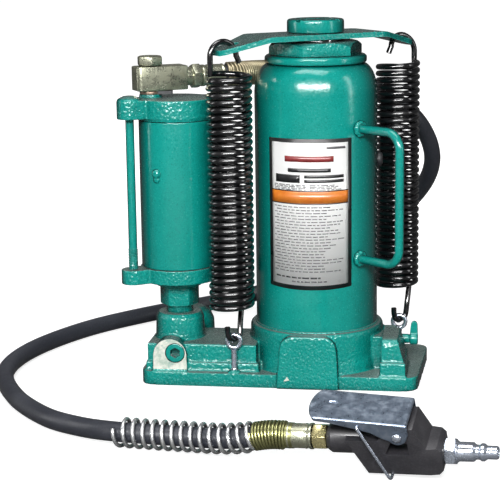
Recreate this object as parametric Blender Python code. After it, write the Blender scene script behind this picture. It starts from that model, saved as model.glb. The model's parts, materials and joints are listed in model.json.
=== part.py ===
"""Air-hydraulic bottle jack with return springs, an air motor, a hose and a lever air valve.

Frame: the origin is on the ram's axis at the underside of the base, +Z is up, +X points away
from the air motor, and -Y is the labelled front. Lengths are in metres; MM turns millimetres
into metres.
"""

import math

import bmesh
import bpy
from mathutils import Matrix, Vector

MM = 0.001
GAP = 0.3 * MM

# Base casting
FLANGE_LEFT, FLANGE_RIGHT = -124 * MM, 81 * MM
FLANGE_TAPER = 4.5 * MM      # how much shorter the right end is at the front than at the back
FLANGE_HALF_DEPTH = 48 * MM
FLANGE_THICK = 10 * MM
FLANGE_CORNER_R = 9 * MM
BOSS_R = 48.6 * MM
BOSS_TOP = 40 * MM
PLINTH_TOP = 29 * MM
STEP_TOP = 16 * MM
PAD_FRONT = -50.8 * MM
BLOCK_TOP = 36.7 * MM

# Reservoir and lifting column
TANK_R, TANK_WALL = 44.25 * MM, 2.75 * MM
TANK_BOTTOM = 36.1 * MM
SHOULDER_Z, TANK_TOP = 207 * MM, 229 * MM
NECK_R = 28.2 * MM
CYLINDER_R, BORE_R = 27.5 * MM, 21.5 * MM
CYLINDER_BOTTOM, CYLINDER_TOP = 21.8 * MM, 228 * MM
RAM_R, RAM_TOP = 18 * MM, 246.1 * MM
RAM_NECK_R = 14.6 * MM
COLLAR_R, COLLAR_TOP = 36.6 * MM, 235 * MM
NUT_ACROSS_FLATS, NUT_TOP = 59.6 * MM, 244.5 * MM
NUT_TURN = math.radians(-69)
SCREW_R, SCREW_BOTTOM = 12 * MM, 147 * MM
SADDLE_R, SADDLE_BOTTOM, SADDLE_TOP = 20.4 * MM, 250.5 * MM, 260 * MM

# Spring bar, return springs and their eye bolts
SPRING_AZ = math.radians(36.6)
SPRING_REACH = 70.4 * MM
SPRING_R, SPRING_WIRE_R = 14.4 * MM, 1.85 * MM
SPRING_TURNS = 34
SPRING_LOW, SPRING_HIGH = 54 * MM, 225 * MM
BAR_BOTTOM, BAR_THICK = 246.4 * MM, 3.7 * MM
BAR_FLAT, BAR_HALF_WIDTH = 45 * MM, 22 * MM
BAR_REACH, BAR_TIP_HALF_WIDTH = 80 * MM, 9.5 * MM
BAR_DROOP = math.radians(15)
BAR_HOLE_REACH = 66 * MM
EYE_R, EYE_WIRE_R = 4.8 * MM, 1.6 * MM
EYE_PASS = ((0, 0, 1.1), (-0.6, -1.6, 1.3), (-1.3, -2.6, 1.9), (-2.7, -4.2, 3.6), (-3.7, -5, 6.5),
            (-4.2, -5.2, 9.5))
EYE_LEFT = (-55.4 * MM, -43.4 * MM, 33 * MM)
EYE_RIGHT = (58.6 * MM, 41.4 * MM, 29 * MM)

# Label, filler plug and carrying handle
LABEL_HALF_ANGLE = math.radians(40.4)
LABEL_LOW, LABEL_HIGH = 73.5 * MM, 179.5 * MM
FILLER_AZ, FILLER_Z = math.radians(6), 159 * MM
HANDLE_AZ, HANDLE_REACH = math.radians(-40.6), 83 * MM
HANDLE_LOW, HANDLE_HIGH = 92 * MM, 185 * MM
HANDLE_ROD_R, HANDLE_BEND_R = 3.2 * MM, 12 * MM

# Release valve, on a level axis along +X
RELEASE_Y, RELEASE_Z = 6 * MM, 25 * MM

# Air motor and its pump
PUMP_X, PUMP_Y = -99.7 * MM, -15 * MM
PUMP_BOSS_TOP = 48 * MM
PLUNGER_R = 6 * MM
MOTOR_FLANGE_Z = (72.5 * MM, 83 * MM)
TUBE_R, TUBE_BORE_R = 27 * MM, 23.5 * MM
TUBE_TOP = 189.9 * MM
CAP_Z = (192 * MM, 205.3 * MM)
LUG_AZ, LUG_REACH, LUG_R = math.radians(214), 35.8 * MM, 8.8 * MM
TIE_ROD_R = 3.1 * MM

# Air inlet on the cap
PORT_X = -117.8 * MM
INLET_AZ = math.radians(30)
INLET_Z = 219 * MM
INLET_HALF = 8.7 * MM
HOSE_R = 6.5 * MM
GUARD_R = 9.4 * MM

# Air valve: it lies on its side a little, propped up on its wire bail
VALVE_AT = Vector((73.1, -222.4, 16.2)) * MM
VALVE_YAW, VALVE_PITCH, VALVE_ROLL = math.radians(-10.3), math.radians(-3.4), math.radians(21)
VALVE_HALF = 11.4 * MM
VALVE_INLET_Z = 8.2 * MM
PIVOT_X, PIVOT_Z = 2.9 * MM, 20.1 * MM
STEM_X = -20 * MM
LEVER_HALF, LEVER_SHEET = 14.2 * MM, 1.2 * MM
BAIL_X, BAIL_Z = -20.2 * MM, 27.6 * MM


# ---------------------------------------------------------------- helpers

def clear_scene():
    for old in list(bpy.data.objects):
        bpy.data.objects.remove(old, do_unlink=True)


def make_material(name, color, metallic, roughness):
    material = bpy.data.materials.new(name)
    material.use_nodes = True
    shader = material.node_tree.nodes["Principled BSDF"]
    shader.inputs["Base Color"].default_value = (*color, 1)
    shader.inputs["Metallic"].default_value = metallic
    shader.inputs["Roughness"].default_value = roughness
    return material


def finish(name, mesh_data, look, frame=None):
    """Turns a bmesh into a named, smooth-shaded object with its own copy of a material."""
    bmesh.ops.recalc_face_normals(mesh_data, faces=mesh_data.faces)
    mesh = bpy.data.meshes.new(name)
    mesh_data.to_mesh(mesh)
    mesh_data.free()
    mesh.shade_smooth()
    mesh.set_sharp_from_angle(angle=math.radians(35))
    piece = bpy.data.objects.new(name, mesh)
    bpy.context.scene.collection.objects.link(piece)
    if frame is not None:
        piece.matrix_world = frame
    if look is not None:
        mesh.materials.append(make_material(name, *look))
    return piece


def lathe(name, profile, look, frame=None, segments=20):
    """Turns a profile of (radius, height) points about Z. It starts and ends on the axis, or loops."""
    shape = bmesh.new()
    rings = []
    for radius, height in profile:
        if radius == 0:
            rings.append(float(height))
            continue
        ring = []
        for step in range(segments):
            angle = math.tau * step / segments
            ring.append(shape.verts.new((radius * math.cos(angle), radius * math.sin(angle), height)))
        rings.append(ring)
    if profile[0][0] > 0:
        rings.append(rings[0])
    for low, high in zip(rings, rings[1:]):
        if isinstance(low, float) or isinstance(high, float):
            close_on_axis(shape, low, high)
            continue
        for step in range(segments):
            after = (step + 1) % segments
            shape.faces.new((low[step], low[after], high[after], high[step]))
    return finish(name, shape, look, frame)


def close_on_axis(shape, low, high):
    """Closes a ring onto the axis: one flat face, or a fan when the tip is higher or lower."""
    tip_height, ring = (low, high) if isinstance(low, float) else (high, low)
    if abs(ring[0].co.z - tip_height) < 1e-9:
        shape.faces.new(ring)
        return
    tip = shape.verts.new((0, 0, tip_height))
    for step, vert in enumerate(ring):
        shape.faces.new((vert, ring[(step + 1) % len(ring)], tip))


def prism(name, outline, low, high, look, frame=None):
    """Extrudes an outline of (x, y) points from z = low to z = high."""
    shape = bmesh.new()
    floor = [shape.verts.new((x, y, low)) for x, y in outline]
    roof = [shape.verts.new((x, y, high)) for x, y in outline]
    shape.faces.new(list(reversed(floor)))
    shape.faces.new(roof)
    for i in range(len(outline)):
        j = (i + 1) % len(outline)
        shape.faces.new((floor[i], floor[j], roof[j], roof[i]))
    return finish(name, shape, look, frame)


def box(name, low, high, look=None, frame=None):
    outline = [(low[0], low[1]), (high[0], low[1]), (high[0], high[1]), (low[0], high[1])]
    return prism(name, outline, low[2], high[2], look, frame)


def sweep(name, path, radius, look, frame=None, sides=8, ring=False):
    """Sweeps a round section along a path of points, carrying the section without twist."""
    count = len(path)
    tangents = []
    for i in range(count):
        ahead = path[(i + 1) % count] if ring else path[min(i + 1, count - 1)]
        behind = path[i - 1] if ring else path[max(i - 1, 0)]
        tangents.append((ahead - behind).normalized())
    normal = tangents[0].orthogonal().normalized()
    shape = bmesh.new()
    sections = []
    for point, tangent in zip(path, tangents):
        normal = (normal - tangent * normal.dot(tangent)).normalized()
        side = tangent.cross(normal)
        section = []
        for step in range(sides):
            angle = math.tau * step / sides
            offset = normal * math.cos(angle) + side * math.sin(angle)
            section.append(shape.verts.new(point + offset * radius))
        sections.append(section)
    pairs = list(zip(sections, sections[1:]))
    if ring:
        pairs.append((sections[-1], sections[0]))
    else:
        shape.faces.new(list(reversed(sections[0])))
        shape.faces.new(sections[-1])
    for near, far in pairs:
        for step in range(sides):
            after = (step + 1) % sides
            shape.faces.new((near[step], near[after], far[after], far[step]))
    return finish(name, shape, look, frame)


def combine(piece, tool, operation):
    """Adds a live Boolean; the tool stays in the file as a hidden wire object."""
    tool.hide_render = True
    tool.display_type = "WIRE"
    modifier = piece.modifiers.new(operation.title(), "BOOLEAN")
    modifier.operation = operation
    modifier.solver = "EXACT"
    modifier.object = tool


def cut(piece, *tools):
    for tool in tools:
        combine(piece, tool, "DIFFERENCE")


def fuse(piece, *tools):
    for tool in tools:
        combine(piece, tool, "UNION")


def at(x, y, z=0.0):
    return Matrix.Translation((x, y, z))


def along(start, direction):
    """A frame at start whose Z axis points along direction."""
    turn = Vector(direction).normalized().to_track_quat("Z", "Y").to_matrix().to_4x4()
    return Matrix.Translation(start) @ turn


def drill(name, start, end, radius, segments=10):
    """A cylinder from start to end, to be used as a cutter."""
    start, end = Vector(start), Vector(end)
    length = (end - start).length
    profile = [(0, 0), (radius, 0), (radius, length), (0, length)]
    return lathe(name, profile, None, along(start, end - start), segments)


def rod(name, start, end, radius, look, segments=16):
    piece = drill(name, start, end, radius, segments)
    piece.data.materials.append(make_material(name, *look))
    return piece


def arc(center, radius, first, last, steps):
    """Points of a flat arc, from the first to the last angle in degrees."""
    points = []
    for i in range(steps + 1):
        angle = math.radians(first + (last - first) * i / steps)
        points.append((center[0] + radius * math.cos(angle), center[1] + radius * math.sin(angle)))
    return points


def rounded_box_outline(low, high, radius, steps=4):
    x0, y0 = low[0] + radius, low[1] + radius
    x1, y1 = high[0] - radius, high[1] - radius
    return (arc((x0, y0), radius, 180, 270, steps) + arc((x1, y0), radius, 270, 360, steps)
            + arc((x1, y1), radius, 0, 90, steps) + arc((x0, y1), radius, 90, 180, steps))


def hexagon(across_flats, turn=0.0):
    """A hexagon whose first flat faces the direction given by turn."""
    corner = across_flats / math.sqrt(3)
    first = math.degrees(turn) + 30
    return arc((0, 0), corner, first, first + 300, 5)


def polar(angle, reach, z=0.0):
    return Vector((reach * math.cos(angle), reach * math.sin(angle), z))


def curve_through(points, steps):
    """A Catmull-Rom curve through the points."""
    guides = [2 * points[0] - points[1]] + points + [2 * points[-1] - points[-2]]
    path = []
    for a, b, c, d in zip(guides, guides[1:], guides[2:], guides[3:]):
        for i in range(steps):
            t = i / steps
            path.append(0.5 * (2 * b + (c - a) * t + (2 * a - 5 * b + 4 * c - d) * t * t
                               + (3 * b - a - 3 * c + d) * t ** 3))
    return path + [points[-1]]


# ---------------------------------------------------------------- looks: colour, metallic, roughness

GREEN_PAINT = ((0.02, 0.36, 0.31), 0.35, 0.35)
STEEL = ((0.55, 0.56, 0.58), 1.0, 0.35)
CHROME = ((0.75, 0.76, 0.78), 1.0, 0.12)
BLACK_STEEL = ((0.015, 0.015, 0.018), 0.6, 0.3)
YELLOW_ZINC = ((0.42, 0.40, 0.22), 0.9, 0.35)
BRASS = ((0.60, 0.48, 0.20), 1.0, 0.3)
COPPER = ((0.72, 0.38, 0.24), 1.0, 0.35)
RUBBER = ((0.02, 0.02, 0.025), 0.0, 0.7)
BLACK_RESIN = ((0.03, 0.03, 0.035), 0.0, 0.45)
PAPER = ((0.85, 0.85, 0.83), 0.0, 0.5)


# ---------------------------------------------------------------- base casting

def base_casting():
    flange = [(x - FLANGE_TAPER * (0.5 - y / (2 * FLANGE_HALF_DEPTH)) if x > 0 else x, y)
              for x, y in rounded_box_outline((FLANGE_LEFT, -FLANGE_HALF_DEPTH),
                                              (FLANGE_RIGHT, FLANGE_HALF_DEPTH), FLANGE_CORNER_R)]
    base = prism("base_casting", flange, 0, FLANGE_THICK, GREEN_PAINT)
    root = FLANGE_THICK / 2
    boss = [(0, 4 * MM), (50.2 * MM, 4 * MM), (50.2 * MM, 11 * MM), (BOSS_R, 19 * MM),
            (BOSS_R, BOSS_TOP - 2.5 * MM), (BOSS_R - 2 * MM, BOSS_TOP), (0, BOSS_TOP)]
    pump_boss = [(0, 6 * MM), (19 * MM, 6 * MM), (18.2 * MM, 28 * MM), (17.3 * MM, 45 * MM),
                 (15.8 * MM, PUMP_BOSS_TOP), (0, PUMP_BOSS_TOP)]
    rear_boss = [(0, 7 * MM), (16.2 * MM, 7 * MM), (15 * MM, 33 * MM), (12 * MM, 39.5 * MM),
                 (7 * MM, 43 * MM), (0, 44 * MM)]
    valve_boss = [(0, 0), (9.5 * MM, 0), (9.5 * MM, 18 * MM), (8.5 * MM, 19 * MM), (0, 19 * MM)]
    fuse(base,
         lathe("boss_shape", boss, None, segments=36),
         box("plinth_shape", (-119.5 * MM, -40.5 * MM, root), (-40 * MM, 9.5 * MM, PLINTH_TOP)),
         box("plinth_step", (-120.4 * MM, -42.6 * MM, 3 * MM), (-38 * MM, 11 * MM, STEP_TOP)),
         lathe("pump_boss_shape", pump_boss, None, at(PUMP_X, PUMP_Y)),
         lathe("rear_boss_shape", rear_boss, None, at(-96 * MM, 22 * MM), 16),
         pump_pad_shape(8 * MM), front_pad_shape(), release_block_shape(5.5 * MM),
         box("release_block_step", (49.6 * MM, -46 * MM, 3.5 * MM), (67.6 * MM, -3 * MM, 20 * MM)),
         box("release_web", (34 * MM, -25 * MM, 4.5 * MM), (52 * MM, -5 * MM, 34 * MM)),
         lathe("valve_boss_shape", valve_boss, None,
               along((40 * MM, RELEASE_Y, RELEASE_Z), (1, 0, 0)), 14))
    cut_base_bores(base)
    return base


def pump_pad_shape(root):
    """The arched pad in front of the pump boss, machined flat at its face."""
    outline = [(-12.5 * MM, root), (12.5 * MM, root)] + arc((0, 21.4 * MM), 12.1 * MM, 0, 180, 10)
    frame = Matrix.Translation((-102.4 * MM, PUMP_Y, 0)) @ Matrix.Rotation(math.pi / 2, 4, "X")
    return prism("pump_pad_shape", outline, 0, 29.5 * MM, None, frame)


def front_pad_shape():
    """The flat-topped arch on the front of the main boss."""
    corner = 9 * MM
    outline = [(-22.9 * MM, GAP), (21.8 * MM, GAP), (20 * MM, 29 * MM)]
    outline += arc((10.6 * MM, 29.5 * MM), corner, 0, 90, 4)
    outline += arc((-11 * MM, 29.5 * MM), corner, 90, 180, 4)
    outline += [(-20.4 * MM, 29 * MM)]
    frame = Matrix.Translation((-1.4 * MM, -28 * MM, 0)) @ Matrix.Rotation(math.pi / 2, 4, "X")
    return prism("front_pad_shape", outline, 0, -28 * MM - PAD_FRONT, None, frame)


def release_block_shape(root):
    """The upright block beside the main boss, seen end-on from the front."""
    round_r = 4.5 * MM
    front, back = -43.2 * MM, -4 * MM
    outline = [(front, root), (back, root)]
    outline += arc((back - 2 * MM, BLOCK_TOP - 2 * MM), 2 * MM, 0, 90, 2)
    outline += arc((front + round_r, BLOCK_TOP - round_r), round_r, 90, 180, 4)
    frame = Matrix(((0, 0, 1, 50.6 * MM), (1, 0, 0, 0), (0, 1, 0, 0), (0, 0, 0, 1)))
    block = prism("release_block_shape", outline, 0, 16 * MM, None, frame)
    draft = [(40 * MM, 0), (67 * MM, 0), (67 * MM, 17 * MM), (61.4 * MM, 38 * MM), (40 * MM, 38 * MM)]
    sideways = Matrix.Rotation(math.pi / 2, 4, "X")
    combine(block, prism("release_block_draft", draft, 0, 50 * MM, None, sideways), "INTERSECT")
    return block


def cut_base_bores(base):
    """Bores for the cylinder, tank rim, pump, valves, bolts and the oil passages between them."""
    groove = [(41.2 * MM, 34.5 * MM), (44.65 * MM, 34.5 * MM), (44.65 * MM, 41 * MM),
              (41.2 * MM, 41 * MM)]
    well = [(0, 13 * MM), (20.5 * MM, 13 * MM), (20.5 * MM, 20 * MM), (27.8 * MM, 20 * MM),
            (27.8 * MM, 41 * MM), (0, 41 * MM)]
    pump = [(0, 18 * MM), (6.3 * MM, 18 * MM), (6.3 * MM, 37.5 * MM), (10 * MM, 37.5 * MM),
            (10 * MM, 49 * MM), (0, 49 * MM)]
    screw_x, screw_z = -98.6 * MM, 23.2 * MM
    feed_low = (-12 * MM, -2 * MM, 16.5 * MM)
    cut(base,
        lathe("tank_groove", groove, None, Matrix.Rotation(0.05, 4, "Z"), 40),
        lathe("cylinder_well", well, None, Matrix.Rotation(0.03, 4, "Z"), 32),
        lathe("pump_bore", pump, None, at(PUMP_X, PUMP_Y), 24),
        drill("feed_passage", (PUMP_X, PUMP_Y, 20 * MM), feed_low, 2 * MM, 8),
        drill("delivery_pocket", (-60 * MM, -8.6 * MM, -1 * MM), (-60 * MM, -8.6 * MM, 23.5 * MM), 4 * MM),
        drill("release_bore", (34 * MM, RELEASE_Y, RELEASE_Z), (62 * MM, RELEASE_Y, RELEASE_Z), 3.9 * MM, 16),
        drill("release_drain", (14 * MM, 2 * MM, 17 * MM), (37 * MM, RELEASE_Y, 24.4 * MM), 1.6 * MM, 8),
        drill("safety_bore", (screw_x, -46 * MM, screw_z), (screw_x, -33.5 * MM, screw_z), 7 * MM, 16),
        drill("safety_passage", (screw_x, -34 * MM, screw_z), (screw_x, PUMP_Y, screw_z), 1.8 * MM, 8),
        drill("suction_bore", (-96 * MM, 40 * MM, 22 * MM), (-96 * MM, 22 * MM, 22 * MM), 6.3 * MM, 14),
        drill("suction_passage", (-96 * MM, 23 * MM, 22 * MM), (-98 * MM, PUMP_Y + 3 * MM, 22 * MM), 1.8 * MM, 8),
        drill("eye_hole_left", (*EYE_LEFT[:2], 2.5 * MM), (*EYE_LEFT[:2], 18 * MM), 2.6 * MM, 8),
        drill("eye_hole_right", (*EYE_RIGHT[:2], 2.5 * MM), (*EYE_RIGHT[:2], 12 * MM), 2.5 * MM, 8))


def socket_screw(name, start, direction, radius, length, socket_flats, look):
    """A headless plug screw with a hexagon socket in its outer end."""
    frame = along(start, direction)
    bevel = 0.5 * MM
    profile = [(0, 0), (radius, 0), (radius, length - bevel), (radius - bevel, length), (0, length)]
    screw = lathe(name, profile, look, frame, 20)
    cut(screw, prism(name + "_socket", hexagon(socket_flats), length * 0.5, length + MM, None, frame))
    return screw


def base_valves():
    socket_screw("safety_valve_screw", (-98.6 * MM, -34 * MM, 23.2 * MM), (0, -1, 0),
                 6.6 * MM, 10.2 * MM, 6 * MM, STEEL)
    socket_screw("suction_valve_plug", (-96 * MM, 30.6 * MM, 22 * MM), (0, 1, 0),
                 6 * MM, 8 * MM, 5 * MM, STEEL)
    socket_screw("delivery_valve_plug", (-60 * MM, -8.6 * MM, 10.4 * MM), (0, 0, -1),
                 3.7 * MM, 9.8 * MM, 3.4 * MM, STEEL)
    ball("suction_ball", (-96 * MM, 25.3 * MM, 22 * MM), 2.9 * MM)
    ball("delivery_ball", (-60 * MM, -8.6 * MM, 13.8 * MM), 2.9 * MM)


def ball(name, center, radius):
    profile = [(0, -radius)] + [(radius * math.cos(a), radius * math.sin(a))
                                for a in (math.radians(d) for d in (-54, -18, 18, 54))]
    return lathe(name, profile + [(0, radius)], STEEL, Matrix.Translation(center), 10)


def release_valve():
    """The needle spindle and its upright finger wing, turned about a level axis."""
    start = Vector((37 * MM, RELEASE_Y, RELEASE_Z))
    profile = [(0, 0), (3.5 * MM, 4 * MM), (3.5 * MM, 16 * MM), (2.6 * MM, 16 * MM),
               (2.6 * MM, 18.6 * MM), (3.5 * MM, 18.6 * MM), (3.5 * MM, 24 * MM),
               (3.9 * MM, 25.2 * MM), (3.9 * MM, 38 * MM), (3.2 * MM, 38.8 * MM), (0, 38.8 * MM)]
    spindle = lathe("release_valve_spindle", profile, GREEN_PAINT, along(start, (1, 0, 0)), 16)
    wing = [(67.9 * MM, 1 * MM), (74.3 * MM, 1 * MM), (73.6 * MM, 12 * MM), (72.2 * MM, 13.4 * MM),
            (69.9 * MM, 13.4 * MM), (68.6 * MM, 12 * MM)]
    frame = Matrix.Translation((0, RELEASE_Y + 1.6 * MM, RELEASE_Z)) @ Matrix.Rotation(math.pi / 2, 4, "X")
    fuse(spindle, prism("wing_shape", wing, 0, 3.2 * MM, None, frame))
    ring = [(2.85 * MM, 16.3 * MM), (3.7 * MM, 16.3 * MM), (3.7 * MM, 18.3 * MM), (2.85 * MM, 18.3 * MM)]
    lathe("release_valve_o_ring", ring, RUBBER, along(start, (1, 0, 0)), 16)


# ---------------------------------------------------------------- reservoir and column

def reservoir_tank():
    """A drawn tube whose top turns in over an elliptical shoulder to a flat neck."""
    inner_r = TANK_R - TANK_WALL
    shoulder_reach, shoulder_rise = 11 * MM, TANK_TOP - SHOULDER_Z
    profile = [(TANK_R, TANK_BOTTOM)]
    for degrees in (0, 22.5, 45, 67.5, 90):
        angle = math.radians(degrees)
        profile.append((TANK_R - shoulder_reach * (1 - math.cos(angle)),
                        SHOULDER_Z + shoulder_rise * math.sin(angle)))
    profile += [(NECK_R, TANK_TOP), (NECK_R, TANK_TOP - TANK_WALL)]
    for degrees in (90, 54, 18):
        angle = math.radians(degrees)
        profile.append((inner_r - (shoulder_reach - TANK_WALL) * (1 - math.cos(angle)),
                        SHOULDER_Z + (shoulder_rise - TANK_WALL) * math.sin(angle)))
    profile.append((inner_r, TANK_BOTTOM))
    tank = lathe("reservoir_tank", profile, GREEN_PAINT, segments=36)
    cut(tank, drill("filler_hole", polar(FILLER_AZ, TANK_R - 6 * MM, FILLER_Z),
                    polar(FILLER_AZ, TANK_R + 3 * MM, FILLER_Z), 3.9 * MM, 14))


def hollow(name, inner, outer, low, high, look, segments=24):
    profile = [(outer, low), (outer, high), (inner, high), (inner, low)]
    return lathe(name, profile, look, None, segments)


def column():
    hollow("tank_gasket", 41.6 * MM, 44.3 * MM, 34.8 * MM, 35.8 * MM, RUBBER, 32)
    hollow("cylinder_gasket", 22 * MM, 27.4 * MM, 20.3 * MM, 21.5 * MM, COPPER)
    hollow("pressure_cylinder", BORE_R, CYLINDER_R, CYLINDER_BOTTOM, CYLINDER_TOP, STEEL, 28)
    collar = [(COLLAR_R, TANK_TOP + GAP), (COLLAR_R, COLLAR_TOP - MM),
              (COLLAR_R - MM, COLLAR_TOP), (NECK_R, COLLAR_TOP), (NECK_R, TANK_TOP + GAP)]
    lathe("tank_collar", collar, GREEN_PAINT, segments=32)
    top_nut()
    hollow("ram_wiper_seal", 18.35 * MM, 20.2 * MM, 241.3 * MM, 244.6 * MM, RUBBER)
    hollow("gland_o_ring", 18.35 * MM, 19.5 * MM, 222.4 * MM, 224.6 * MM, RUBBER)


def top_nut():
    """The gland nut: a chamfered hexagon over a spigot that enters the cylinder."""
    underside = COLLAR_TOP + GAP
    frame = Matrix.Rotation(NUT_TURN, 4, "Z")
    nut = prism("top_nut", hexagon(NUT_ACROSS_FLATS), underside, NUT_TOP, GREEN_PAINT, frame)
    corner = NUT_ACROSS_FLATS / math.sqrt(3)
    chamfer = [(0, underside - MM), (corner + MM, underside - MM), (corner + MM, NUT_TOP - 4 * MM),
               (corner - 3.6 * MM, NUT_TOP + 0.2 * MM), (0, NUT_TOP + 0.2 * MM)]
    combine(nut, lathe("nut_chamfer", chamfer, None, segments=30), "INTERSECT")
    spigot = [(0, 216 * MM), (BORE_R - GAP, 216 * MM), (BORE_R - GAP, 237 * MM), (0, 237 * MM)]
    fuse(nut, lathe("spigot_shape", spigot, None))
    bore = [(0, 210 * MM), (18.4 * MM, 210 * MM), (18.4 * MM, 222 * MM), (19.9 * MM, 222 * MM),
            (19.9 * MM, 225 * MM), (18.4 * MM, 225 * MM), (18.4 * MM, 241 * MM), (20.6 * MM, 241 * MM),
            (20.6 * MM, 250 * MM), (0, 250 * MM)]
    cut(nut, lathe("gland_bore", bore, None))


def ram_assembly():
    ram = [(0, 33.6 * MM), (7.7 * MM, 33.6 * MM), (7.7 * MM, 46 * MM), (12.8 * MM, 46 * MM),
           (12.8 * MM, 58.2 * MM), (RAM_R, 58.2 * MM), (RAM_R, RAM_TOP), (RAM_NECK_R, RAM_TOP),
           (RAM_NECK_R, SADDLE_BOTTOM - 0.4 * MM), (12.4 * MM, SADDLE_BOTTOM - 0.4 * MM),
           (12.4 * MM, 82 * MM), (0, 82 * MM)]
    lathe("ram", ram, CHROME)
    piston = [(13.1 * MM, 46.2 * MM), (21.15 * MM, 46.2 * MM), (21.15 * MM, 50 * MM),
              (19.4 * MM, 50 * MM), (19.4 * MM, 54.6 * MM), (21.15 * MM, 54.6 * MM),
              (21.15 * MM, 57.9 * MM), (13.1 * MM, 57.9 * MM)]
    lathe("ram_piston", piston, STEEL)
    hollow("piston_bearing_ring", 19.7 * MM, 21.2 * MM, 50.3 * MM, 54.3 * MM, BRASS)
    cup = [(8 * MM, 40.4 * MM), (17 * MM, 40.4 * MM), (18.2 * MM, 38 * MM), (21.1 * MM, 37 * MM),
           (21.1 * MM, 45.8 * MM), (8 * MM, 45.8 * MM)]
    lathe("piston_cup_seal", cup, RUBBER)
    nut = prism("piston_nut", hexagon(22 * MM), 34.2 * MM, 40 * MM, STEEL)
    cut(nut, drill("piston_nut_hole", (0, 0, 30 * MM), (0, 0, 45 * MM), 8 * MM, 24))
    spring_bar()
    screw_low = [(0, SCREW_BOTTOM), (11.4 * MM, SCREW_BOTTOM), (11.4 * MM, 150.5 * MM),
                 (9 * MM, 150.5 * MM), (9 * MM, 153.5 * MM), (SCREW_R, 153.5 * MM)]
    saddle = [(SCREW_R, SADDLE_BOTTOM), (SADDLE_R, SADDLE_BOTTOM), (SADDLE_R, SADDLE_TOP - 1.2 * MM),
              (SADDLE_R - 1.2 * MM, SADDLE_TOP), (0, SADDLE_TOP)]
    screw = lathe("extension_screw", screw_low + saddle, GREEN_PAINT)
    for turn in (53, 143):
        frame = Matrix.Rotation(math.radians(turn - 90 + 6), 4, "Z")
        low = (-25 * MM, -1.5 * MM, SADDLE_TOP - 1.4 * MM)
        high = (25 * MM, 1.5 * MM, SADDLE_TOP + MM)
        cut(screw, box(f"saddle_groove_{turn}", low, high, None, frame))
    hollow("screw_stop_ring", 9.3 * MM, 11.8 * MM, 150.8 * MM, 153.2 * MM, BLACK_STEEL, 20)


def spring_bar():
    """A bent plate over the ram: flat in the middle, with tapered ends that droop."""
    drop = (BAR_REACH - BAR_FLAT) * math.tan(BAR_DROOP)
    stations = [(-BAR_REACH, BAR_TIP_HALF_WIDTH * 0.55, -drop),
                (-BAR_REACH + 5 * MM, BAR_TIP_HALF_WIDTH, -drop * 30 / 35),
                (-BAR_FLAT, BAR_HALF_WIDTH, 0)]
    stations += [(-reach, half, z) for reach, half, z in reversed(stations)]
    shape = bmesh.new()
    sections = []
    for reach, half, z in stations:
        low = BAR_BOTTOM + z
        corners = ((-half, low), (half, low), (half, low + BAR_THICK), (-half, low + BAR_THICK))
        sections.append([shape.verts.new((reach, y, height)) for y, height in corners])
    for near, far in zip(sections, sections[1:]):
        for i in range(4):
            j = (i + 1) % 4
            shape.faces.new((near[i], near[j], far[j], far[i]))
    shape.faces.new(sections[0])
    shape.faces.new(list(reversed(sections[-1])))
    bar = finish("spring_bar", shape, GREEN_PAINT, Matrix.Rotation(SPRING_AZ, 4, "Z"))
    cut(bar, drill("ram_neck_hole", (0, 0, 240 * MM), (0, 0, 255 * MM), RAM_NECK_R + GAP, 28))
    for side in (-1, 1):
        foot = polar(SPRING_AZ, side * BAR_HOLE_REACH, 230 * MM)
        cut(bar, drill("wire_hole" + "_lr"[side], foot, foot + Vector((0, 0, 25 * MM)), 3.9 * MM, 12))


# ---------------------------------------------------------------- springs and eye bolts

def helix(center, radius, low, high, turns, steps_per_turn, start=0.0):
    steps = int(turns * steps_per_turn)
    path = []
    for i in range(steps + 1):
        angle = start + math.tau * i / steps_per_turn
        height = low + (high - low) * i / steps
        path.append(Vector((center[0], center[1], 0)) + polar(angle, radius, height))
    return path


def return_spring(name, outward, eye):
    """A long extension spring: a hook over the bar, a close coil, and a hook in the eye bolt."""
    center = polar(outward, SPRING_REACH)
    out = polar(outward, 1)
    coil = helix(center, SPRING_R, SPRING_LOW, SPRING_HIGH, SPRING_TURNS, 5, outward)
    hook_r = 10.2 * MM
    hook_center = center + out * (SPRING_R - hook_r) + Vector((0, 0, 237 * MM))
    top = [hook_center + out * (hook_r * math.cos(a)) + Vector((0, 0, hook_r * math.sin(a)))
           for a in (math.radians(d) for d in range(0, 181, 20))]
    top.append(hook_center - out * (hook_r + 2.2 * MM) - Vector((0, 0, 5 * MM)))
    turn = Matrix.Rotation(0 if eye[0] < 0 else math.pi, 3, "Z")
    half = [Vector(step) * MM for step in EYE_PASS]
    back = [Vector((-step.x, -step.y, step.z)) for step in half]
    hook = [Vector(eye) + turn @ step for step in list(reversed(half)) + back[1:]]
    lead = [hook[-1].lerp(coil[0], 0.55) + Vector((0, 0, 2 * MM))]
    path = hook + lead + coil + top
    sweep(name, path, SPRING_WIRE_R, BLACK_STEEL, sides=4)


def eye_bolt(name, eye):
    center = Vector(eye)
    circle = [center + Vector((EYE_R * math.cos(a), 0, EYE_R * math.sin(a)))
              for a in (math.tau * i / 12 for i in range(12))]
    bolt = sweep(name, circle, EYE_WIRE_R, STEEL, sides=6, ring=True)
    fuse(bolt, drill(name + "_shank", (*eye[:2], 3 * MM), (*eye[:2], eye[2] - EYE_R), 2.05 * MM, 8))


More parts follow.
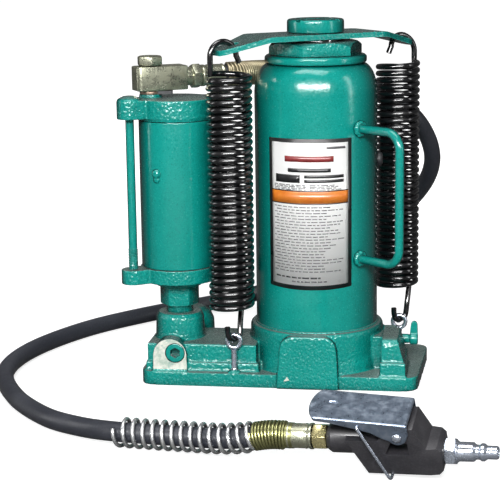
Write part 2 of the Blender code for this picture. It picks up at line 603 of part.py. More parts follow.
def tank_fittings():
    label = bmesh.new()
    inner, outer = TANK_R + 0.35 * MM, TANK_R + 0.8 * MM
    steps = 14
    rails = []
    for radius, z in ((inner, LABEL_LOW), (outer, LABEL_LOW), (outer, LABEL_HIGH), (inner, LABEL_HIGH)):
        angles = (-math.pi / 2 + LABEL_HALF_ANGLE * (2 * i / steps - 1) for i in range(steps + 1))
        rails.append([label.verts.new(polar(angle, radius, z)) for angle in angles])
    for a, b in zip(rails, rails[1:] + rails[:1]):
        for i in range(steps):
            label.faces.new((a[i], a[i + 1], b[i + 1], b[i]))
    label.faces.new([rail[0] for rail in rails])
    label.faces.new([rail[-1] for rail in reversed(rails)])
    finish("label_plate", label, PAPER)
    plug = [(0, -3.4 * MM), (3.5 * MM, -3.4 * MM), (3.5 * MM, 0.4 * MM), (5 * MM, 0.4 * MM),
            (4.8 * MM, 3 * MM), (3.4 * MM, 3.9 * MM), (0, 3.9 * MM)]
    lathe("filler_plug", plug, RUBBER, along(polar(FILLER_AZ, TANK_R, FILLER_Z), polar(FILLER_AZ, 1)), 14)
    carry_handle()


def carry_handle():
    """A bent rod whose two feet are welded to the tank, each with a small flared fillet."""
    out = polar(HANDLE_AZ, 1)
    up = Vector((0, 0, 1))
    foot = TANK_R + GAP
    path = [out * foot + up * HANDLE_HIGH]
    for center_z, first in ((HANDLE_HIGH - HANDLE_BEND_R, 90), (HANDLE_LOW + HANDLE_BEND_R, 0)):
        center = out * (HANDLE_REACH - HANDLE_BEND_R) + up * center_z
        for degrees in range(first, first - 91, -18):
            angle = math.radians(degrees)
            path.append(center + (out * math.cos(angle) + up * math.sin(angle)) * HANDLE_BEND_R)
    path.append(out * foot + up * HANDLE_LOW)
    handle = sweep("carry_handle", path, HANDLE_ROD_R, GREEN_PAINT, sides=8)
    weld = [(0, 0), (5.4 * MM, 0), (4 * MM, 2.4 * MM), (3.1 * MM, 5 * MM), (0, 5 * MM)]
    for name, z in (("weld_low", HANDLE_LOW), ("weld_high", HANDLE_HIGH)):
        fuse(handle, lathe(name, weld, None, along(out * (foot + 0.35 * MM) + up * z, out), 10))


# ---------------------------------------------------------------- air motor

def lug_outline(body_r):
    """A round body with two opposite lugs, as one outline."""
    meet = math.degrees(math.asin(LUG_R / body_r))
    outline = []
    for turn in (0, 180):
        outline += [(x * math.cos(math.radians(turn)), y * math.cos(math.radians(turn)))
                    for x, y in arc((LUG_REACH, 0), LUG_R, -90, 90, 5) + arc((0, 0), body_r, meet, 180 - meet, 9)]
    return outline


def motor_frame():
    return at(PUMP_X, PUMP_Y) @ Matrix.Rotation(LUG_AZ, 4, "Z")


def rod_place(side, z):
    return Vector((PUMP_X, PUMP_Y, z)) + polar(LUG_AZ, side * LUG_REACH)


def pump_housing():
    """A sleeve with a hexagon for the spanner under a round flange."""
    profile = [(6.3 * MM, 38 * MM), (9.7 * MM, 38 * MM), (9.7 * MM, 54 * MM), (14.2 * MM, 54 * MM),
               (14.2 * MM, 68.4 * MM), (17.6 * MM, 68.5 * MM), (17.6 * MM, 72.2 * MM), (6.3 * MM, 72.2 * MM)]
    housing = lathe("pump_housing", profile, GREEN_PAINT, at(PUMP_X, PUMP_Y))
    for turn in range(6):
        frame = at(PUMP_X, PUMP_Y) @ Matrix.Rotation(math.radians(38 + 60 * turn), 4, "Z")
        cut(housing, box(f"wrench_flat_{turn}", (12.5 * MM, -12 * MM, 50 * MM), (16 * MM, 12 * MM, 66.8 * MM),
                         None, frame))


def air_motor():
    pump_housing()
    low, high = MOTOR_FLANGE_Z
    flange = prism("air_motor_base_flange", lug_outline(27.9 * MM), low, high, GREEN_PAINT, motor_frame())
    cut(flange, drill("plunger_hole", (PUMP_X, PUMP_Y, low - MM), (PUMP_X, PUMP_Y, high + MM), 7 * MM, 16))
    low, high = CAP_Z
    cap = prism("air_motor_cap", lug_outline(27.6 * MM), low, high, GREEN_PAINT, motor_frame())
    spigot = [(0, 186.5 * MM), (23.1 * MM, 186.5 * MM), (23.1 * MM, 190.2 * MM), (27.1 * MM, 190.2 * MM),
              (27.1 * MM, low + MM), (0, low + MM)]
    fuse(cap, lathe("cap_spigot", spigot, None, at(PUMP_X, PUMP_Y)))
    dome = [(0, low), (LUG_R, low), (LUG_R, 203.5 * MM), (LUG_R - 1.8 * MM, 206.8 * MM), (4 * MM, 208 * MM),
            (0, 208.2 * MM)]
    port_rim = [(0, high - MM), (8 * MM, high - MM), (8 * MM, high + 2.4 * MM), (0, high + 2.4 * MM)]
    fuse(cap, lathe("port_rim", port_rim, None, at(PORT_X, PUMP_Y), 16))
    for side in (-1, 1):
        place = rod_place(side, 0)
        fuse(cap, lathe("dome" + "_ab"[side], dome, None, at(place.x, place.y), 12))
    for side in (-1, 1):
        cut(flange, drill("rod_hole_low" + "_ab"[side], rod_place(side, 75.5 * MM), rod_place(side, 90 * MM), 3.5 * MM))
        cut(cap, drill("rod_hole_high" + "_ab"[side], rod_place(side, 180 * MM), rod_place(side, 203 * MM), 3.5 * MM))
        name = {-1: "tie_rod_back", 1: "tie_rod_front"}[side]
        rod(name, rod_place(side, 76 * MM), rod_place(side, 202.6 * MM), TIE_ROD_R, STEEL, 12)
    cut(cap, drill("port_hole", (PORT_X, PUMP_Y, 180 * MM), (PORT_X, PUMP_Y, 215 * MM), 5.4 * MM, 16))
    tube = [(TUBE_R, MOTOR_FLANGE_Z[1] + GAP), (TUBE_R, TUBE_TOP), (TUBE_BORE_R, TUBE_TOP),
            (TUBE_BORE_R, MOTOR_FLANGE_Z[1] + GAP)]
    cylinder = lathe("air_cylinder", tube, GREEN_PAINT, at(PUMP_X, PUMP_Y), 36)
    nub_az, nub_z = math.radians(-112), 153.4 * MM
    nub_at = Vector((PUMP_X, PUMP_Y, 0)) + polar(nub_az, TUBE_R, nub_z)
    cut(cylinder, drill("exhaust_hole", nub_at - polar(nub_az, 6 * MM), nub_at + polar(nub_az, 3 * MM), 2.9 * MM, 12))
    nub = [(0, -2.2 * MM), (2.5 * MM, -2.2 * MM), (2.5 * MM, 0.5 * MM), (4.4 * MM, 0.5 * MM),
           (4 * MM, 2 * MM), (0, 2.2 * MM)]
    lathe("exhaust_plug", nub, GREEN_PAINT, along(nub_at, polar(nub_az, 1)), 14)


def pump_moving_parts():
    frame = at(PUMP_X, PUMP_Y)
    piston = [(0, 186 * MM), (23.2 * MM, 186 * MM), (23.2 * MM, 182.6 * MM), (20.8 * MM, 182.6 * MM),
              (20.8 * MM, 179.4 * MM), (23.2 * MM, 179.4 * MM), (23.2 * MM, 176 * MM), (10 * MM, 176 * MM),
              (10 * MM, 168 * MM), (6.3 * MM, 168 * MM), (6.3 * MM, 172.4 * MM), (0, 172.4 * MM)]
    lathe("air_piston", list(reversed(piston)), STEEL, frame)
    seal = [(21.1 * MM, 179.7 * MM), (23.25 * MM, 179.7 * MM), (23.25 * MM, 182.3 * MM), (21.1 * MM, 182.3 * MM)]
    lathe("air_piston_seal", seal, RUBBER, frame)
    plunger = [(0, 44 * MM), (PLUNGER_R - MM, 44 * MM), (PLUNGER_R, 45.5 * MM), (PLUNGER_R, 172.1 * MM),
               (0, 172.1 * MM)]
    lathe("pump_plunger", plunger, CHROME, frame, 20)
    coil = helix((PUMP_X, PUMP_Y), 17.5 * MM, 84.8 * MM, 174.2 * MM, 7, 7)
    sweep("motor_return_spring", coil, 1.1 * MM, STEEL, sides=4)


# ---------------------------------------------------------------- air inlet and hose

def inlet_point(reach, z=INLET_Z):
    return Vector((PORT_X, PUMP_Y, z)) + polar(INLET_AZ, reach)


def inlet_fittings():
    half = INLET_HALF
    chamfer = 2 * MM
    outline = [(-12 * MM, -half + chamfer), (-12 * MM + chamfer, -half), (26 * MM, -half), (26 * MM, half),
               (-12 * MM + chamfer, half), (-12 * MM, half - chamfer)]
    frame = at(PORT_X, PUMP_Y, INLET_Z) @ Matrix.Rotation(INLET_AZ, 4, "Z")
    block = prism("inlet_block", outline, -half, half, YELLOW_ZINC, frame)
    cut(block, drill("bolt_hole", (PORT_X, PUMP_Y, 205 * MM), (PORT_X, PUMP_Y, 230 * MM), 5.4 * MM, 16),
        drill("nipple_hole", inlet_point(5 * MM), inlet_point(27 * MM), 5.3 * MM, 14))
    hollow_at = at(PORT_X, PUMP_Y)
    washer = [(5.5 * MM, 208 * MM), (7.8 * MM, 208 * MM), (7.8 * MM, 210 * MM), (5.5 * MM, 210 * MM)]
    lathe("port_washer", washer, COPPER, hollow_at, 20)
    bolt = prism("banjo_bolt", hexagon(16 * MM, math.radians(20)), 228 * MM, 235 * MM, YELLOW_ZINC, hollow_at)
    shank = [(0, 195 * MM), (5 * MM, 195 * MM), (5 * MM, 228.5 * MM), (0, 228.5 * MM)]
    fuse(bolt, lathe("bolt_shank", shank, None, hollow_at, 16))
    fitting = [(2.6 * MM, 8 * MM), (5 * MM, 8 * MM), (5 * MM, 26.3 * MM), (6.4 * MM, 26.3 * MM),
               (6.4 * MM, 31 * MM), (9 * MM, 31 * MM), (9 * MM, 37.6 * MM), (2.6 * MM, 37.6 * MM)]
    axis = along(inlet_point(0), polar(INLET_AZ, 1))
    lathe("hose_upper_fitting", fitting, YELLOW_ZINC, axis, 18)
    ferrule = [(2.6 * MM, 37.9 * MM), (7.9 * MM, 37.9 * MM), (7.9 * MM, 55.5 * MM), (6.8 * MM, 55.5 * MM),
               (6.8 * MM, 42 * MM), (2.6 * MM, 42 * MM)]
    lathe("hose_upper_ferrule", ferrule, YELLOW_ZINC, axis, 18)


def valve_frame():
    turn = (Matrix.Rotation(VALVE_YAW, 4, "Z") @ Matrix.Rotation(VALVE_PITCH, 4, "Y")
            @ Matrix.Rotation(VALVE_ROLL, 4, "X"))
    return Matrix.Translation(VALVE_AT) @ turn


def hose_path():
    """The hose leaves the inlet, loops behind the tank, and circles on the ground to the valve."""
    loop = [(-46, 35, 218.5), (-22, 52, 217), (10, 66, 211), (42, 81, 199), (70, 99, 174),
            (80, 123, 141), (66, 150, 108), (28, 170, 73), (-20, 184, 38), (-70, 190, 14),
            (-110, 177, 7), (-152, 137, 7), (-195, 80, 7), (-222, 12, 7), (-224, -50, 7),
            (-200, -108, 7), (-168, -150, 7), (-141, -171, 7.8), (-112.5, -186, 9.7), (-66, -196, 11.2),
            (-33, -204.5, 13.6)]
    last = valve_frame()
    ends = [inlet_point(43 * MM), inlet_point(56 * MM), inlet_point(66 * MM)]
    leads = [last @ Vector((x * MM, 0, VALVE_INLET_Z)) for x in (-82, -70, -57)]
    return ends + [Vector(point) * MM for point in loop] + leads


def sleeve_path(path, first, last, closest_to):
    """The stretch of the path within first..last metres of travel from the point nearest to a place."""
    start = min(range(len(path)), key=lambda i: (path[i] - closest_to).length)
    kept = []
    travelled = 0.0
    for i in range(start, len(path)):
        if first <= travelled <= last:
            kept.append(path[i])
        if i + 1 < len(path):
            travelled += (path[i + 1] - path[i]).length
    return kept


def sleeve(name, path, inner, outer, look, sides=12):
    """A tube around a path, open at both ends."""
    body = sweep(name, path, outer, look, sides=sides)
    start = path[0] - (path[1] - path[0]).normalized() * MM
    end = path[-1] + (path[-1] - path[-2]).normalized() * MM
    cut(body, sweep(name + "_bore", [start] + path[1:-1] + [end], inner, None, sides=sides))


def coil_around(path, radius, pitch, steps_per_turn):
    """A helix wound round a path."""
    length = sum((b - a).length for a, b in zip(path, path[1:]))
    count = int(length / pitch * steps_per_turn)
    normal = (path[1] - path[0]).orthogonal().normalized()
    coil = []
    segment, walked = 0, 0.0
    for i in range(count + 1):
        goal = length * i / count
        while segment < len(path) - 2 and walked + (path[segment + 1] - path[segment]).length < goal:
            walked += (path[segment + 1] - path[segment]).length
            segment += 1
        tangent = (path[segment + 1] - path[segment]).normalized()
        normal = (normal - tangent * normal.dot(tangent)).normalized()
        center = path[segment] + tangent * (goal - walked)
        angle = math.tau * i / steps_per_turn
        coil.append(center + (normal * math.cos(angle) + tangent.cross(normal) * math.sin(angle)) * radius)
    return coil


def hose():
    path = curve_through(hose_path(), 2)
    sweep("air_hose", path, HOSE_R, RUBBER, sides=10)
    fine = curve_through(hose_path(), 16)
    upper = sleeve_path(fine, 0, 42 * MM, inlet_point(59 * MM))
    sleeve("hose_guard_upper", upper[::9] + [upper[-1]], 7 * MM, GUARD_R, YELLOW_ZINC)
    valve_end = valve_frame() @ Vector((-63 * MM, 0, VALVE_INLET_Z))
    backwards = list(reversed(fine))
    lower = sleeve_path(backwards, 0, 29 * MM, valve_end)
    sleeve("hose_guard_lower", lower[::8] + [lower[-1]], 8.1 * MM, GUARD_R, YELLOW_ZINC)
    spring = sleeve_path(backwards, 31 * MM, 116 * MM, valve_end)
    sweep("hose_guard_spring", coil_around(spring, 8.5 * MM, 6.6 * MM, 7), 0.9 * MM, STEEL, sides=4)


def along_valve(x, z=0.0):
    """A frame on the valve's long axis, Z pointing to the plug end."""
    turn = Matrix.Rotation(math.pi / 2, 4, "Y")
    return valve_frame() @ Matrix.Translation((x, 0, z)) @ turn


def hose_end():
    frame = along_valve(0, VALVE_INLET_Z)
    ferrule = [(3 * MM, -56.6 * MM), (3 * MM, -53.2 * MM), (8 * MM, -53.2 * MM), (8 * MM, -56 * MM),
               (7.75 * MM, -56 * MM), (7.75 * MM, -69 * MM), (6.85 * MM, -69 * MM), (6.85 * MM, -56.6 * MM)]
    lathe("hose_lower_ferrule", ferrule, YELLOW_ZINC, frame, 18)
    nut = prism("hose_nut", hexagon(14.4 * MM, math.radians(25)), -52.9 * MM, -43.7 * MM, BRASS, frame)
    start = valve_frame() @ Vector((-54 * MM, 0, VALVE_INLET_Z))
    end = valve_frame() @ Vector((-43 * MM, 0, VALVE_INLET_Z))
    cut(nut, drill("nut_bore", start, end, 3 * MM, 12))


# ---------------------------------------------------------------- air valve

def in_side_view():
    """Turns a prism built in XY so that its outline lies in the valve's XZ plane."""
    return valve_frame() @ Matrix.Rotation(math.pi / 2, 4, "X")


def valve_drill(name, start, end, radius, segments=12):
    frame = valve_frame()
    return drill(name, frame @ Vector(start), frame @ Vector(end), radius, segments)


def valve_body():
    outline = [(-30, 14.7), (-18.8, -9.7), (24.6, -9.7), (27.2, -7.1), (27.2, 7.1), (24.6, 9.7),
               (18.6, 9.7), (12, 24.2), (-4, 24.2), (-10, 14.7)]
    outline = [(x * MM, z * MM) for x, z in outline]
    body = prism("valve_body", outline, -VALVE_HALF, VALVE_HALF, BLACK_RESIN, in_side_view())
    inlet = [(0, -43.3 * MM), (7.6 * MM, -43.3 * MM), (9.3 * MM, -40.6 * MM), (9.3 * MM, -22 * MM), (0, -22 * MM)]
    fuse(body, lathe("inlet_shape", inlet, None, along_valve(0, VALVE_INLET_Z), 20))
    window = [(-6.5 * MM, 4.8 * MM), (7.8 * MM, 4.8 * MM), (7.8 * MM, 13.6 * MM), (-2.5 * MM, 13.6 * MM)]
    cut(body,
        prism("window_shape", window, -12 * MM, 12 * MM, None, in_side_view()),
        valve_drill("inlet_bore", (-44 * MM, 0, VALVE_INLET_Z), (-15 * MM, 0, VALVE_INLET_Z), 3 * MM),
        valve_drill("outlet_bore", (15 * MM, 0, 0), (29 * MM, 0, 0), 5.3 * MM, 16),
        valve_drill("cross_bore", (-19 * MM, 0, 0), (16 * MM, 0, 0), 2.4 * MM),
        valve_drill("stem_bore", (STEM_X, 0, -7.2 * MM), (STEM_X, 0, 16 * MM), 2.3 * MM),
        valve_drill("pivot_bore", (PIVOT_X, -12 * MM, PIVOT_Z), (PIVOT_X, 12 * MM, PIVOT_Z), 1.9 * MM))


def valve_lever():
    """A pressed channel: rounded thumb end at the left, deeper cheeks round the pivot."""
    top = [(9.7, 28.9), (-52, 34.2)]
    cheek = [(-52, 31.4), (-38, 29.4), (-21, 25), (-12.5, 22.3), (-6.9, 18.8)]
    cheek += arc((2.9, 20.1), 5.9, 215, 350, 6) + [(9.7, 21.5)]
    outline = [(x * MM, z * MM) for x, z in top + cheek]
    lever = prism("valve_lever", list(reversed(outline)), -LEVER_HALF, LEVER_HALF, STEEL, in_side_view())
    thumb = [(12 * MM, LEVER_HALF + MM), (12 * MM, -LEVER_HALF - MM)]
    thumb += [(-43.5 * MM - 8 * MM * math.cos(a), (LEVER_HALF + MM) * math.sin(a))
              for a in (math.radians(d) for d in range(-90, 91, 20))]
    combine(lever, prism("thumb_shape", thumb, 5 * MM, 45 * MM, None, valve_frame()), "INTERSECT")
    inside = [(x * MM, z * MM) for x, z in ((12, 27.5), (-60, 33.7), (-60, 0), (12, 0))]
    half = LEVER_HALF - LEVER_SHEET
    cut(lever,
        prism("lever_inside", list(reversed(inside)), -half, half, None, in_side_view()),
        valve_drill("lever_pivot_hole", (PIVOT_X, -20 * MM, PIVOT_Z), (PIVOT_X, 20 * MM, PIVOT_Z), 1.8 * MM),
        valve_drill("bail_hole", (BAIL_X, -20 * MM, BAIL_Z), (BAIL_X, 20 * MM, BAIL_Z), 1.3 * MM))


def valve_small_parts():
    frame = valve_frame()
    edge = LEVER_HALF + GAP
    profile = [(0, -edge - 1.5 * MM), (2.2 * MM, -edge - 1.5 * MM), (3 * MM, -edge), (1.5 * MM, -edge),
               (1.5 * MM, edge), (3 * MM, edge), (2.2 * MM, edge + 1.5 * MM), (0, edge + 1.5 * MM)]
    pin_frame = frame @ Matrix.Translation((PIVOT_X, 0, PIVOT_Z)) @ Matrix.Rotation(math.pi / 2, 4, "X")
    lathe("lever_pivot_pin", profile, STEEL, pin_frame, 14)
    stem = [(0, -3 * MM), (2 * MM, -3 * MM), (2 * MM, 28.9 * MM), (1.2 * MM, 29.7 * MM), (0, 29.7 * MM)]
    lathe("valve_stem", stem, STEEL, frame @ Matrix.Translation((STEM_X, 0, 0)), 12)
    lock_bail()
    plug = [(0, 17 * MM), (5 * MM, 17 * MM), (5 * MM, 27.5 * MM), (7.9 * MM, 27.5 * MM), (7.9 * MM, 34.5 * MM),
            (5.6 * MM, 35.5 * MM), (5.6 * MM, 44.5 * MM), (4.4 * MM, 46 * MM), (4.4 * MM, 48 * MM),
            (5.1 * MM, 49 * MM), (5.1 * MM, 51 * MM), (4 * MM, 53 * MM), (3.9 * MM, 58.6 * MM),
            (3.2 * MM, 59.4 * MM), (2.4 * MM, 59.4 * MM), (2.4 * MM, 30 * MM), (0, 30 * MM)]
    piece = lathe("air_plug", plug, CHROME, along_valve(0), 14)
    cut(piece, drill("plug_bore", frame @ Vector((16 * MM, 0, 0)), frame @ Vector((31 * MM, 0, 0)), 2.2 * MM))


def lock_bail():
    """A bent wire that hangs from the lever's cheeks and passes under the body."""
    side, low_x, low_z, bend = LEVER_HALF + 1.3 * MM, -4.5 * MM, -11.1 * MM, 2.5 * MM
    near = Vector((BAIL_X, -side, BAIL_Z))
    under = Vector((low_x, -side, low_z))
    down = (under - near).normalized()
    half = [Vector((BAIL_X, -LEVER_HALF + 1 * MM, BAIL_Z)), near + Vector((0, 0.9 * MM, 0)), near + down * 0.9 * MM]
    across = Vector((0, 1, 0))
    for degrees in (0, 30, 60, 90):
        angle = math.radians(degrees)
        offset = across * (bend * (1 - math.cos(angle))) + down * (bend * (math.sin(angle) - 1))
        half.append(under + offset)
    mirrored = [Vector((p.x, -p.y, p.z)) for p in reversed(half)]
    sweep("lock_bail", half + mirrored, 0.9 * MM, STEEL, valve_frame(), sides=6)


# ---------------------------------------------------------------- whole jack

def build_jack():
    clear_scene()
    base_casting()
    base_valves()
    release_valve()
    reservoir_tank()
    column()
    ram_assembly()
    eye_bolt("eye_bolt_left", EYE_LEFT)
    eye_bolt("eye_bolt_right", EYE_RIGHT)
    return_spring("return_spring_left", SPRING_AZ + math.pi, EYE_LEFT)
    return_spring("return_spring_right", SPRING_AZ, EYE_RIGHT)
    tank_fittings()
    air_motor()
    pump_moving_parts()
    inlet_fittings()
    hose()
    hose_end()
    valve_body()
    valve_lever()
    valve_small_parts()


build_jack()
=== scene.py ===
"""Looks of the air-hydraulic bottle jack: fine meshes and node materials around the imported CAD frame.

Lengths are in metres in the CAD's own frame: +Z up the ram, -Y the labelled front. MM turns
millimetres into metres. Places come from the boxes of the CAD nodes where a box gives them. The other
sizes follow the ones the CAD was drawn with, and add finer detail.
"""

import json
import random
from math import acos, asin, atan2, cos, degrees, pi, radians, sin, sqrt, tan, tau

import bmesh
import bpy
from mathutils import Matrix, Vector


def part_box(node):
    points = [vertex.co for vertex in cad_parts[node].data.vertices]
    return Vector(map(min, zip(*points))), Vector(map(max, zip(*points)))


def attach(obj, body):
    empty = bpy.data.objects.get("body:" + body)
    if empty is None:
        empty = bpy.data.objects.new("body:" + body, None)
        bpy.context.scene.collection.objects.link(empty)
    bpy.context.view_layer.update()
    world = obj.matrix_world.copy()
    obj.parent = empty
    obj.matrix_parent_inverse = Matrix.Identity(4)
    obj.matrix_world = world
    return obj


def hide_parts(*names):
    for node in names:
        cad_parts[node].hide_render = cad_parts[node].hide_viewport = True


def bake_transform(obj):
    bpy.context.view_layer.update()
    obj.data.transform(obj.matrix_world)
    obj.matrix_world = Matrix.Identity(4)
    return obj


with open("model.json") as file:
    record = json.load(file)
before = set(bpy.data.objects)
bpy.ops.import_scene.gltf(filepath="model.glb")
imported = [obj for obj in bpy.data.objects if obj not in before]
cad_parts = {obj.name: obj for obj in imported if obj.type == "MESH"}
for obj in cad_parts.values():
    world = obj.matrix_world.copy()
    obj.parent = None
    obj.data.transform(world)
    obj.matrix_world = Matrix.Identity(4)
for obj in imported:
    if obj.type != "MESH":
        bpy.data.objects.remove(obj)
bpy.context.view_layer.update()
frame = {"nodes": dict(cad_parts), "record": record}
MM = 0.001
UP = Vector((0, 0, 1))
BODY_OF = {node: body for body, nodes in frame["record"]["behaviour"]["bodies"].items() for node in nodes}
SLOT_OF = {part["node"]: part["material_slot"] for part in frame["record"]["subparts"]}


# ---------------------------------------------------------------- shape helpers

def polar(angle, reach, z=0.0):
    return Vector((reach * cos(angle), reach * sin(angle), z))


def at(x, y, z=0.0):
    return Matrix.Translation((x, y, z))


def spin(angle, axis="Z"):
    """A turn about an axis, in degrees."""
    return Matrix.Rotation(radians(angle), 4, axis)


# Stands a flat outline upright: its second axis points up, and it is extruded from front to back.
ACROSS = spin(90, "X")


def along(start, direction):
    turn = Vector(direction).normalized().to_track_quat("Z", "Y").to_matrix().to_4x4()
    return Matrix.Translation(start) @ turn


def fillet(points, radius, closed=False, steps=4):
    """Rounds the corners of a flat outline. radius is one number, or a dict of corner index to radius."""
    rounded = []
    count = len(points)
    for i, corner in enumerate(points):
        r = radius.get(i, 0) if isinstance(radius, dict) else radius
        if r == 0 or (not closed and i in (0, count - 1)):
            rounded.append(corner)
            continue
        here = Vector(corner)
        before = Vector(points[i - 1]) - here
        after = Vector(points[(i + 1) % count]) - here
        reach = min(r, before.length * 0.48, after.length * 0.48)
        start = here + before.normalized() * reach
        end = here + after.normalized() * reach
        for step in range(steps + 1):
            t = step / steps
            point = start * (1 - t) ** 2 + here * (2 * t * (1 - t)) + end * t ** 2
            rounded.append((point.x, point.y))
    return rounded


def arc(center, radius, first, last, steps):
    points = []
    for i in range(steps + 1):
        angle = radians(first + (last - first) * i / steps)
        points.append((center[0] + radius * cos(angle), center[1] + radius * sin(angle)))
    return points


def mm(points):
    return [(x * MM, y * MM) for x, y in points]


def mm3(x, y, z):
    return (x * MM, y * MM, z * MM)


def lathe(profile, segments=96, into=None, placed=Matrix.Identity(4)):
    """Turns (radius, height) points about Z; a profile that starts off the axis is a closed loop."""
    shape = into or bmesh.new()
    rings = []
    for radius, height in profile:
        if radius <= 1e-9:
            rings.append([shape.verts.new(placed @ Vector((0, 0, height)))])
            continue
        rings.append([shape.verts.new(placed @ polar(tau * i / segments, radius, height))
                      for i in range(segments)])
    pairs = list(zip(rings, rings[1:]))
    if profile[0][0] > 1e-9:
        pairs.append((rings[-1], rings[0]))
    for low, high in pairs:
        for i in range(segments):
            j = (i + 1) % segments
            corners = [low[i % len(low)], low[j % len(low)], high[j % len(high)], high[i % len(high)]]
            corners = list(dict.fromkeys(corners))
            if len(corners) > 2:
                shape.faces.new(corners)
    return shape


def soft_lathe(points, soft, segments=48, placed=Matrix.Identity(4), closed=False):
    """A lathe shape from a profile in millimetres. soft is its corner radius, or a dict by corner."""
    radius = {i: r * MM for i, r in soft.items()} if isinstance(soft, dict) else soft * MM
    return lathe(fillet(mm(points), radius, closed), segments, None, placed)


def drum(radius, low, high, segments, placed=Matrix.Identity(4), into=None):
    """A cylinder about Z, with its sizes in millimetres."""
    return lathe(mm([(0, low), (radius, low), (radius, high), (0, high)]), segments, into, placed)


def prism(outline, low, high, into=None, placed=Matrix.Identity(4)):
    shape = into or bmesh.new()
    floor = [shape.verts.new(placed @ Vector((x, y, low))) for x, y in outline]
    roof = [shape.verts.new(placed @ Vector((x, y, high))) for x, y in outline]
    shape.faces.new(list(reversed(floor)))
    shape.faces.new(roof)
    for i in range(len(outline)):
        j = (i + 1) % len(outline)
        shape.faces.new((floor[i], floor[j], roof[j], roof[i]))
    return shape


def block(low, high, into=None):
    outline = [(low[0], low[1]), (high[0], low[1]), (high[0], high[1]), (low[0], high[1])]
    return prism(outline, low[2], high[2], into)


def hexagon(across_flats, turn=0.0):
    first = degrees(turn) + 30
    return arc((0, 0), across_flats / sqrt(3), first, first + 300, 5)


def sweep(path, radius, sides=12, into=None, ring=False):
    """A round section along a path. radius is a number or a function of the share of the path."""
    shape = into or bmesh.new()
    count = len(path)
    tangents = []
    for i in range(count):
        ahead = path[(i + 1) % count] if ring else path[min(i + 1, count - 1)]
        behind = path[i - 1] if ring else path[max(i - 1, 0)]
        tangents.append((ahead - behind).normalized())
    normal = tangents[0].orthogonal().normalized()
    sections = []
    for index, (point, tangent) in enumerate(zip(path, tangents)):
        normal = (normal - tangent * normal.dot(tangent)).normalized()
        side = tangent.cross(normal)
        size = radius(index / (count - 1)) if callable(radius) else radius
        sections.append([shape.verts.new(point + (normal * cos(a) + side * sin(a)) * size)
                         for a in (tau * i / sides for i in range(sides))])
    pairs = list(zip(sections, sections[1:]))
    if ring:
        pairs.append((sections[-1], sections[0]))
    else:
        shape.faces.new(list(reversed(sections[0])))
        shape.faces.new(sections[-1])
    for near, far in pairs:
        for i in range(sides):
            j = (i + 1) % sides
            shape.faces.new((near[i], near[j], far[j], far[i]))
    return shape


def curve_through(points, steps):
    guides = [2 * points[0] - points[1]] + points + [2 * points[-1] - points[-2]]
    path = []
    for a, b, c, d in zip(guides, guides[1:], guides[2:], guides[3:]):
        for i in range(steps):
            t = i / steps
            path.append(0.5 * (2 * b + (c - a) * t + (2 * a - 5 * b + 4 * c - d) * t * t
                               + (3 * b - a - 3 * c + d) * t ** 3))
    return path + [points[-1]]


def resample(path, spacing):
    """The same path with points an even distance apart."""
    kept = [path[0]]
    left = spacing
    for a, b in zip(path, path[1:]):
        length = (b - a).length
        while length >= left:
            a = a.lerp(b, left / length)
            kept.append(a.copy())
            length = (b - a).length
            left = spacing
        left -= length
    return kept


def coil_around(path, radius, pitch, steps_per_turn):
    """A helix wound round a path of evenly spaced points."""
    spacing = (path[1] - path[0]).length
    normal = (path[1] - path[0]).orthogonal().normalized()
    step = pitch / steps_per_turn
    length = spacing * (len(path) - 1)
    coil = []
    segment = 0
    for i in range(int(length / step) + 1):
        goal = i * step
        segment = min(int(goal / spacing), len(path) - 2)
        tangent = (path[segment + 1] - path[segment]).normalized()
        normal = (normal - tangent * normal.dot(tangent)).normalized()
        center = path[segment].lerp(path[segment + 1], goal / spacing - segment)
        angle = tau * i / steps_per_turn
        coil.append(center + (normal * cos(angle) + tangent.cross(normal) * sin(angle)) * radius)
    return coil


def bevel(shape, width):
    """Rounds the edges of an unfinished shape that are sharper than 30 degrees."""
    limit = radians(30)
    edges = [e for e in shape.edges if len(e.link_faces) == 2 and e.calc_face_angle(0) > limit]
    bmesh.ops.bevel(shape, geom=edges, offset=width, offset_type="OFFSET", segments=3,
                    profile=0.5, affect="EDGES", clamp_overlap=True)
    return shape


def to_object(name, shape):
    bmesh.ops.recalc_face_normals(shape, faces=shape.faces)
    mesh = bpy.data.meshes.new(name)
    shape.to_mesh(mesh)
    shape.free()
    made = bpy.data.objects.new(name, mesh)
    bpy.context.scene.collection.objects.link(made)
    return made


def bake(made, tools=()):
    """Applies the modifiers, and removes the tools they used."""
    bpy.context.view_layer.update()
    graph = bpy.context.evaluated_depsgraph_get()
    mesh = bpy.data.meshes.new_from_object(made.evaluated_get(graph))
    made.modifiers.clear()
    made.data = mesh
    for tool in tools:
        bpy.data.objects.remove(tool)
    return made


def boolean(made, operation, *shapes):
    tools = []
    for shape in shapes:
        tool = to_object("tool", shape)
        modifier = made.modifiers.new("cut", "BOOLEAN")
        modifier.operation = operation
        modifier.solver = "EXACT"
        modifier.object = tool
        tools.append(tool)
    return bake(made, tools)


def cut(made, *shapes):
    return boolean(made, "DIFFERENCE", *shapes)


def cast(made, voxel, smoothing):
    """Melts overlapping solids into one skin with the soft corners of a casting."""
    remesh = made.modifiers.new("skin", "REMESH")
    remesh.mode = "VOXEL"
    remesh.voxel_size = voxel
    smooth = made.modifiers.new("soft", "SMOOTH")
    smooth.factor = 0.5
    smooth.iterations = smoothing
    return bake(made)


def bevel_edges(made, width, segments=3, angle=35):
    modifier = made.modifiers.new("edge", "BEVEL")
    modifier.width = width
    modifier.segments = segments
    modifier.limit_method = "ANGLE"
    modifier.angle_limit = radians(angle)
    modifier.harden_normals = False
    return bake(made)


